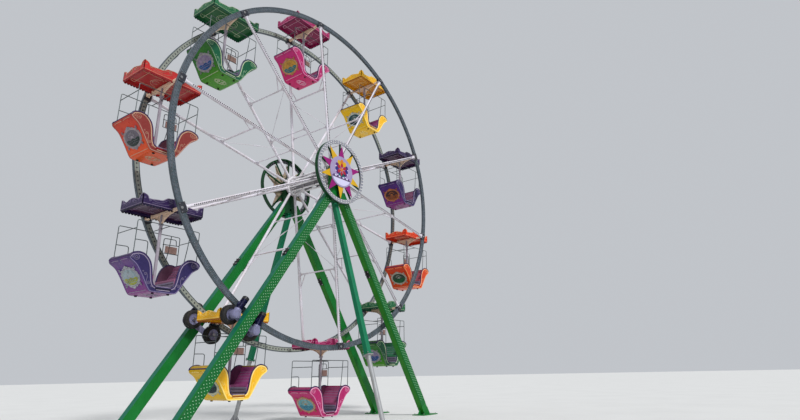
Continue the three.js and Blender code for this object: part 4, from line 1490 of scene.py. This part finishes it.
# Tubs
tubLook = {"halfWidth": 0.6, "roomHalf": 0.57, "bottom": -2.5, "piping": 0.014, "rim": 0.023, "line": 0.013,
           "drop": 0.66, "frameWidth": 0.48, "frameHeight": 0.32, "fieldWidth": 0.385, "fieldHeight": 0.25}
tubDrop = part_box("gondola_1_tub")[0].z - axles[0].z - tubLook["bottom"]
backPoints = [(0.30, -2.5), (0.40, -2.482), (0.465, -2.42), (0.55, -2.285), (0.66, -2.1), (0.76, -1.945),
              (0.87, -1.79), (0.97, -1.705), (1.06, -1.645), (1.098, -1.6), (1.108, -1.55)]
topPoints = [(1.108, -1.55), (1.085, -1.485), (1.01, -1.425), (0.86, -1.384), (0.74, -1.395), (0.64, -1.44),
             (0.5, -1.58), (0.42, -1.78), (0.385, -2.0), (0.35, -2.18), (0.30, -2.29), (0.22, -2.33)]
roomPoints = [(0.37, -2.44), (0.478, -2.31), (0.648, -2.06), (0.845, -1.76), (0.945, -1.56), (0.93, -1.43)]
crestPoints = [(1.085, -1.485), (1.01, -1.425), (0.935, -1.402)]
benchPoints = [(0.335, -2.44), (0.325, -2.10), (0.320, -2.055), (0.333, -2.022), (0.37, -2.010),
               (0.50, -2.03), (0.62, -2.035), (0.66, -2.00), (0.70, -1.93), (0.80, -1.745), (0.888, -1.57),
               (0.890, -1.50), (0.900, -1.445), (0.935, -1.445), (0.94, -1.56), (0.84, -1.76),
               (0.642, -2.06), (0.474, -2.31), (0.38, -2.44)]
# Scrolls on the side panels: x, z, radius, turns, start, sense, thickness and inner share
tubScrolls = ((0.905, -1.545, 0.084, 1.0, 0.0, 1, 0.010, 0.98), (0.905, -1.545, 0.048, 1.4, pi, 1, 0.009),
              (1.030, -1.560, 0.032, 1.2, pi, 1, 0.008), (0.585, -2.000, 0.048, 1.3, pi, -1, 0.010),
              (0.465, -2.235, 0.056, 1.4, 0.0, -1, 0.010), (0.66, -1.93, 0.024, 1.1, 0.0, 1, 0.008),
              (0.365, -2.33, 0.030, 1.2, pi, 1, 0.008))
stemPoints = [(0.537, -2.000), (0.520, -2.08), (0.528, -2.16), (0.521, -2.235)]
# Entrance step and plates: size, y, z and paint
entranceParts = (((0.52, 0.046, 0.018), 0.584, -2.324, 3), ((0.50, 0.014, 0.05), 0.602, -2.375, 1),
                 ((0.42, 0.010, 0.022), 0.602, -2.425, 0))
backLine = smoothLine(backPoints, 3)
topLine = smoothLine(topPoints, 3)
backLength = sum((end - start).length for start, end in zip(backLine, backLine[1:]))


def tubOutline():
    wing = [tuple(point) for point in backLine + topLine[1:]]
    return wing + [(-x, z) for x, z in reversed(wing)]


# A side panel: a level border, a step down and a field; edge is 1 along the outline
def sidePanel(outline, side):
    outer, inner = tubLook["halfWidth"], tubLook["roomHalf"]
    step = outer - 0.006
    # Layers: distance inwards, y and edge value
    layers = ((0.004, inner, 0.0), (0.0, inner + 0.004, 1.0), (0.0, step, 1.0), (0.006, outer, 1.0),
              (0.026, outer, 1.0), (0.030, step, 0.9), (0.055, step, 0.2))
    rings = [[Vector((x, side * y, z)) for x, z in (inset(outline, reach) if reach else outline)]
             for reach, y, edge in layers]
    return *capped(rings), [edge for reach, y, edge in layers for point in outline]


# A place on the outside of a back: up along its slope, across it, and lifted off it
def onBack(hand, across, up, lift):
    remaining = backLength - tubLook["drop"] + up
    for start, end in zip(backLine, backLine[1:]):
        length = (end - start).length
        if remaining <= length:
            break
        remaining -= length
    along = (end - start).normalized()
    spot = start + along * remaining
    return Vector((hand * (spot.x + along.y * lift), across, spot.y - along.x * lift))


def backPlate(hand, outline, high, middle=(0.0, 0.0), low=-0.02):
    layers = ((0.0, low), (1.0, low), (1.0, high - 0.003), (0.97, high), (0.62, high), (0.31, high),
              (0.0, high))
    rings = []
    for share, lift in layers:
        ring = [onBack(hand, middle[0] + a * share, middle[1] + u * share, lift) for a, u in outline]
        rings.append(ring if share else ring[:1])
    return stitched(rings)


def oval(width, height, count=40, waves=0, wave=0.0):
    outline = []
    for k in range(count):
        angle = 2 * pi * k / count
        swell = wave * cos(waves * angle)
        outline.append(((width + swell) * sin(angle), (height + swell) * cos(angle)))
    return outline


# Medallion with a half sun over waves: 0 frame, 1 high field, 2 low field, 3 sun
def addMedallion(shape, hand, paints):
    look = tubLook
    frame, high, low, sun = paints
    shape.add(backPlate(hand, oval(look["frameWidth"], look["frameHeight"], 96, 16, 0.012), 0.016), frame)
    shape.add(backPlate(hand, oval(look["fieldWidth"], look["fieldHeight"]), 0.020), high)
    width, height = look["fieldWidth"] * 0.985, look["fieldHeight"] * 0.985
    wave = [(a * width, -0.03 + 0.018 * cos(9 * a)) for a in (k / 12 - 1 for k in range(25))]
    edge = [(width * cos(radians(a)), height * sin(radians(a))) for a in range(-10, -171, -8)]
    lower = [(a, u + 0.14) for a, u in wave[1:-1] + edge]
    shape.add(backPlate(hand, lower, 0.023, (0.0, -0.14)), low)
    disc = [(0.078 * cos(radians(a)), 0.078 * sin(radians(a)) - 0.02) for a in range(0, 181, 12)]
    shape.add(backPlate(hand, disc, 0.024, (0.0, 0.02)), sun)
    for turn in (-64, -38, -12, 12, 38, 64):
        angle = radians(turn)
        x, z = 0.155 * sin(angle), 0.155 * cos(angle)
        leaf = [(a - x, u - z) for a, u in petal(angle, 0.115, 0.20, 0.016)]
        shape.add(backPlate(hand, leaf, 0.024, (x, z)), sun)
    for level in (-0.09, -0.155):
        path = [onBack(hand, a * width * 0.72, level + 0.014 * cos(12 * a), 0.025)
                for a in (k / 10 - 1 for k in range(21))]
        shape.add(tube(path, 0.007, 6), high)
    knots = ((0.0, 0.335, 0.048), (0.078, 0.316, 0.036), (-0.078, 0.316, 0.036), (0.0, -0.330, 0.040),
             (0.062, -0.316, 0.028), (-0.062, -0.316, 0.028))
    for across, up, radius in knots:
        shape.add(backPlate(hand, oval(radius, radius, 16), 0.024, (across, up)), frame)
    for a, u in product((-1, 1), repeat=2):
        curl = spiral((a * 0.405, 0, u * 0.245), 0.050, 1.3, atan2(u, a), a * u)
        path = [onBack(hand, point.x, point.z, 0.016) for point in curl]
        shape.add(tube(path, 0.009, 6), frame)


# Shell: 0 back paint, 1 panel paint, 2 inside paint, a darkened seat colour painted as the shade inside the
# tub
def makeTubShell(outline):
    shell = Shape()
    for side in (-1, 1):
        shell.add(sidePanel(outline, side), 1)
        shell.paints[-2] = 2
    room = [tuple(point) for point in smoothLine(roomPoints, 4)]
    half = [tuple(point) for point in backLine] + crestPoints + room[::-1]
    loop = half + [(-x, z) for x, z in reversed(half)]
    width = tubLook["roomHalf"] + 0.002
    rows = [width * share for share in (-1, -0.86, -0.5, 0, 0.5, 0.86, 1)]
    points, faces = capped([[Vector((x, y, z)) for x, z in loop] for y in rows])
    edges = [min(1.0, max(0.0, (z + 1.72) / 0.22) * 0.7 + 0.35 * (abs(y) > 0.55))
             for y, (x, z) in product(rows, loop)]
    shell.add((points, faces, edges))
    return shell


# Trim: 0 line paint, 1 dark paint, 2 feet, 3 step plates, 4 scroll paint, 5 indigo rim
def makeTubTrim(outline):
    look = tubLook
    trim = Shape()
    backCount = len(backLine)
    wing = slice(backCount - 1, backCount + len(topLine) - 1)
    keel = inset(outline, 0.017)[:backCount]
    keel = [(-x, z) for x, z in reversed(keel)] + keel
    wide, rim = look["halfWidth"], look["rim"]

    def draw(points, y, radius, facets, paint, hand=1):
        trim.add(tube([(hand * x, y, z) for x, z in points], radius, facets), paint)

    for side in (-1, 1):
        face = side * (wide - 0.006)
        draw(keel, side * (wide - 0.012), look["piping"], 8, 0)
        for hand in (-1, 1):
            draw(inset(outline, 0.053)[wing], face, look["line"], 6, 0, hand)
            draw(inset(outline, 0.006)[wing], side * (wide - 0.014), rim, 8, 5, hand)
            for x, z, radius, turns, start, sense, thick, *inner in tubScrolls:
                curl = spiral((x, face, z), radius, turns, start, sense, *inner)
                draw([(point.x, point.z) for point in curl], face, thick, 6, 4, hand)
            draw(smoothLine(stemPoints, 4), face, 0.010, 6, 4, hand)
            button = [(0.0, 0.008), (0.018, 0.006), (0.024, 0.0), (0.0, 0.0)]
            trim.add(lathe([(r, side * y) for r, y in button], 16, (hand * 0.905, face, -1.545)), 1)
        for size, y, z, paint in entranceParts:
            trim.add(boxAt(size, (0, side * y, z), 0.003 if paint == 0 else 0.004), paint)
    for hand in (-1, 1):
        trim.add(tube([(hand * 1.09, -0.56, -1.512), (hand * 1.09, 0.56, -1.512)], rim, 8), 5)
        for across in (-0.25, 0.25):
            turns = [radians(a) for a in range(-90, 91, 20)]
            lip = [onBack(hand, across + 0.20 * sin(a), 0.585 + 0.018 * cos(a), 0.001) for a in turns]
            trim.add(tube(lip, 0.007, 6), 0)
        trim.add(tube([onBack(hand, y / 4, -0.47, 0.002) for y in range(-2, 3)], 0.009, 6), 0)

    foot = look["bottom"] - 0.001
    for width, height in ((0.23, 0.15), (0.20, 0.12)):
        ring = [(width * cos(2 * pi * k / 36), height * sin(2 * pi * k / 36), foot) for k in range(36)]
        trim.add(tube(ring, 0.008, 6, True), 0)
    for hand, side in product((-1, 1), repeat=2):
        curl = spiral((hand * 0.085, 0, 0), 0.062, 1.5, pi * 0.5, hand * side)
        trim.add(tube([Vector((point.x, point.z + side * 0.02, foot)) for point in curl], 0.007, 6), 0)
        trim.add(boxAt((0.07, 0.055, 0.04), (hand * 0.24, side * 0.47, foot - 0.017), 0.008), 2)
    return trim


# How hollow the seat is at v, from -1 to 1 across it: 1 in the middle of each of its two places
def seatHollow(v):
    return 1 - ((abs(v) - 0.5) / 0.5) ** 2


# Seats: 0 seat, 1 floor bars, 2 riser and slat lines
def makeTubSeats():
    seats = Shape()
    benchEnd = tubLook["roomHalf"] - 0.002
    for hand in (-1, 1):
        rings = []
        for v in (row / 8 - 1 for row in range(17)):
            dip = 0.024 * max(0.0, seatHollow(v))
            ring = []
            for k, (x, z) in enumerate(benchPoints):
                if 4 <= k <= 6:
                    z -= dip * (0.8 if k == 4 else 1.0)
                if 8 <= k <= 10:
                    x += dip * 0.8
                    z -= dip * 0.4
                if 10 <= k <= 13 and abs(v) > 0.9:
                    z -= 0.03
                ring.append(Vector((hand * x, v * benchEnd, z)))
            rings.append(ring)
        start = len(seats.faces)
        seats.add(capped(rings))
        for index in range(start, len(seats.faces) - 2, len(benchPoints)):
            seats.paints[index] = 2
        for x, z in ((0.715, -1.915), (0.768, -1.815), (0.822, -1.712), (0.868, -1.62)):
            shares = [k / 8 for k in range(-8, 9)]
            path = [(hand * (x + 0.018 * seatHollow(v)), v * benchEnd * 0.96, z) for v in shares]
            seats.add(tube(path, 0.008, 6), 2)
        for z in (-2.16, -2.26):
            seats.add(tube([(hand * 0.322, y, z) for y in (-0.53, 0.53)], 0.007, 6), 1)
    for k in range(7):
        seats.add(boxAt((0.62, 0.10, 0.014), (0, -0.48 + 0.16 * k, -2.433), 0.004), 1)
    return seats


def makeMedallions():
    shape = Shape()
    spots = []
    for hand in (-1, 1):
        addMedallion(shape, hand, (0, 1, 2, 3))
        for a, u in oval(0.433, 0.285, 36):
            place = onBack(hand, a, u, 0.016)
            spots.append((place, onBack(hand, a, u, 1.0) - onBack(hand, a, u, 0.0), (0, 1, 0)))
    return shape, spots


# Hangers
hangerLook = {"beam": 0.088, "beamEnd": 0.938, "mast": 0.078, "foot": -2.5197, "bar": 0.013, "top": -0.51,
              "end": -0.76, "halfLength": 1.0, "halfWidth": 0.552, "postFoot": -1.5015}
gussetPoints = [(0.69, -0.04), (0.38, -0.11), (0.152, -0.211), (0.038, -0.33)]
# Collars on the mast: width, height and level
mastCollars = ((0.12, 0.05, -0.36), (0.10, 0.04, -0.51), (0.17, 0.02, -2.5077))


# Hanger: 0 beam, 1 mast, 2 pins, 3 plate
def makeHangerShape():
    look = hangerLook
    shape = Shape()
    beam, end, mast, foot = (look[key] for key in ("beam", "beamEnd", "mast", "foot"))
    shape.add(boxAt((beam, 2 * end, beam), (0, 0, 0), 0.008))
    curve = [tuple(point) for point in smoothLine(gussetPoints, 6)]
    pin = [(0.0, 0.9), (0.0445, 0.9), (0.0445, pinEnd - 0.006), (0.038, pinEnd), (0.0, pinEnd)]
    flange = [(-0.004, -0.032), (0.004, -0.032), (0.004, 0.032), (-0.004, 0.032)]
    for side in (-1, 1):
        shape.add(lathe([(r, side * y) for r, y in pin], 24), 2)
        shape.add(boxAt((0.13, 0.02, 0.13), (0, side * (end - 0.012), 0), 0.004))
        shape.add(boxAt((0.115, 0.06, 0.10), (0, side * 0.60, 0.0), 0.006))
        gusset = [(side * y, z) for y, z in [(0.02, -0.04), *curve, (0.02, -0.33)]]
        shape.add(web(gusset, 0.012, 0.003), 0, quarterTurn)
        shape.add(sweep([Vector((0, side * y, z)) for y, z in curve], flange, up=(0, 0, 1)))
    shape.add(boxAt((mast, mast, -foot), (0, 0, foot / 2), 0.008), 1)
    for width, height, level in mastCollars:
        shape.add(boxAt((width, width, height), (0, 0, level), 0.004 if height < 0.03 else 0.006), 1)
    shape.add(boxAt((0.41, 0.012, 0.23), (0.735, look["halfWidth"], -0.975), 0.004), 3)
    return shape


def guardLines():
    look = hangerLook
    x, y = look["halfLength"], look["halfWidth"]
    top, end, foot = look["top"], look["end"], look["postFoot"]
    lines = [[(0, -y, top), (0, y, top)]]
    for side in (-1, 1):
        out = side * y
        lines.append(rounded([(-x, out, foot), (-x, out, top), (x, out, top), (x, out, foot)], 0.06))
        lines.append(rounded([(-x, out, -1.11), (-0.62, out, -1.10), (-0.61, out, -1.54)], 0.08))
        lines.append(rounded([(0.70, out, top), (0.66, out, -1.0), (0.58, side * (y + 0.01), -1.58)], 0.2))
        lines.append([(side * x, -y, end), (side * x, y, end)])
    lines.append(rounded([(0.46, y, -1.11), (0.46, y, -0.62), (0.88, y, -0.61), (0.90, y, -0.80)], 0.07))
    lines.append([(0.44, y, -0.83), (x, y, -0.80)])
    lines.append([(0.46, y, -1.11), (x, y, -1.10)])
    return lines


def placedAt(axle, spots):
    return [(spot + axle, facing, heading) for spot, facing, heading in spots]


canopyShape, canopyScallops = makeCanopyShape()
tubShell, tubTrim, tubSeats = makeTubShell(tubOutline()), makeTubTrim(tubOutline()), makeTubSeats()
medallionShape, medallionSpots = makeMedallions()
hangerShape = makeHangerShape()
wires = guardLines()


def makeGondola(name, number, paint):
    axle = axles[number - 1]
    seatAt = axle + Vector((0, 0, tubDrop))

    def coats(*kinds):
        return [f"{kind}_{paint}" for kind in kinds]

    roofCoats = coats("canopy", "under", "line", "scroll")
    makePiece(f"{name}_roof", canopyShape, name, roofCoats, (f"{name}_canopy",), axle)
    values = {"Radius": canopyLook["scallop"], "Thickness": 0.012, "Drop": canopyLook["scallopDrop"],
              "Material": f"dark_{paint}"}
    grow(f"{name}_scallops", "scallops", name, values, placedAt(axle, canopyScallops))
    shellCoats = coats("back", "panel", "inside")
    makePiece(f"{name}_shell", tubShell, name, shellCoats, (f"{name}_tub",), seatAt)
    trimCoats = [f"line_{paint}", f"dark_{paint}", "footBlack", "deckPale", f"scroll_{paint}", "rimIndigo"]
    makePiece(f"{name}_trim", tubTrim, name, trimCoats, at=seatAt)
    pictureCoats = [f"{part}_{number}" for part in ("frame", "high", "low", "frame")]
    makePiece(f"{name}_medallions", medallionShape, name, pictureCoats, at=seatAt)
    growBeads(f"{name}_beads", name, 0.012, 0.004, placedAt(seatAt, medallionSpots), f"line_{paint}")
    seatCoats = [f"seat_{paint}", "wireDark", "deckPale"]
    makePiece(f"{name}_seats", tubSeats, name, seatCoats, at=seatAt)
    hangerCoats = ["creamPaint", "mastPaint", "axleSteel", "platePink"]
    makePiece(f"{name}_mast", hangerShape, name, hangerCoats, (f"{name}_hanger",), axle)
    values = {"Radius": hangerLook["bar"], "Sides": 8, "Material": "wireDark"}
    lines = [[Vector(point) + axle for point in line] for line in wires]
    grow(f"{name}_guard", "pipes", name, values, lines=lines)


for number, paint in zip(numbers, gondolaPaints):
    makeGondola(f"gondola_{number}", number, paint)
print("Gondolas are in place")


# Floor, light and camera
stageLook = {"floorSize": 400.0, "sunStrength": 2.7, "sunAngle": 12.0, "sunTurn": (46, 4, -24),
             "sky": (226, 230, 236), "skyStrength": 0.7}


def makeStage():
    size = stageLook["floorSize"]
    mesh = bpy.data.meshes.new("floor")
    corners = [(-size, -size, 0), (size, -size, 0), (size, size, 0), (-size, size, 0)]
    mesh.from_pydata(corners, [], [(0, 1, 2, 3)])
    floor = bpy.data.objects.new("floor", mesh)
    look = dict(colour=(214, 214, 212), blotch=(204, 204, 202), blotchSize=3.0, rough=(0.7, 0.9),
                streakAmount=0.0, chipFrom=0.95, bump=0.02)
    mesh.materials.append(makeFinish("floorPale", look))
    bpy.context.scene.collection.objects.link(floor)
    floor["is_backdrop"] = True
    sun = bpy.data.lights.new("sun", "SUN")
    sun.energy = stageLook["sunStrength"]
    sun.angle = radians(stageLook["sunAngle"])
    lamp = bpy.data.objects.new("sun", sun)
    lamp.rotation_euler = [radians(turn) for turn in stageLook["sunTurn"]]
    bpy.context.scene.collection.objects.link(lamp)
    world = bpy.data.worlds.new("studio")
    world.use_nodes = True
    background = world.node_tree.nodes["Background"]
    background.inputs["Color"].default_value = tone(stageLook["sky"])
    background.inputs["Strength"].default_value = stageLook["skyStrength"]
    bpy.context.scene.world = world
    bpy.context.scene.view_settings.view_transform = "Standard"


cameraLook = {"place": (-14.707, -15.673, 1.771), "yaw": 55.58, "pitch": 17.49, "roll": -1.14, "lens": 23.41,
              "sensor": 36, "shift": -0.0248, "farthest": 1000}


def makeCamera():
    yaw, pitch, roll = (radians(cameraLook[key]) for key in ("yaw", "pitch", "roll"))
    forward = Vector((sin(yaw) * cos(pitch), cos(yaw) * cos(pitch), sin(pitch)))
    right = Vector((cos(yaw), -sin(yaw), 0.0))
    up = right.cross(forward)
    across = right * cos(roll) + up * sin(roll)
    upward = up * cos(roll) - right * sin(roll)
    data = bpy.data.cameras.new("photo_camera")
    data.lens = cameraLook["lens"]
    data.sensor_width = cameraLook["sensor"]
    data.shift_x = cameraLook["shift"]
    data.clip_end = cameraLook["farthest"]
    camera = bpy.data.objects.new("photo_camera", data)
    place = Matrix((across, upward, -forward)).transposed().to_4x4()
    place.translation = Vector(cameraLook["place"])
    camera.matrix_world = place
    bpy.context.scene.collection.objects.link(camera)
    bpy.context.scene.camera = camera


makeStage()
makeCamera()
print("Stage is set")

low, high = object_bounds()
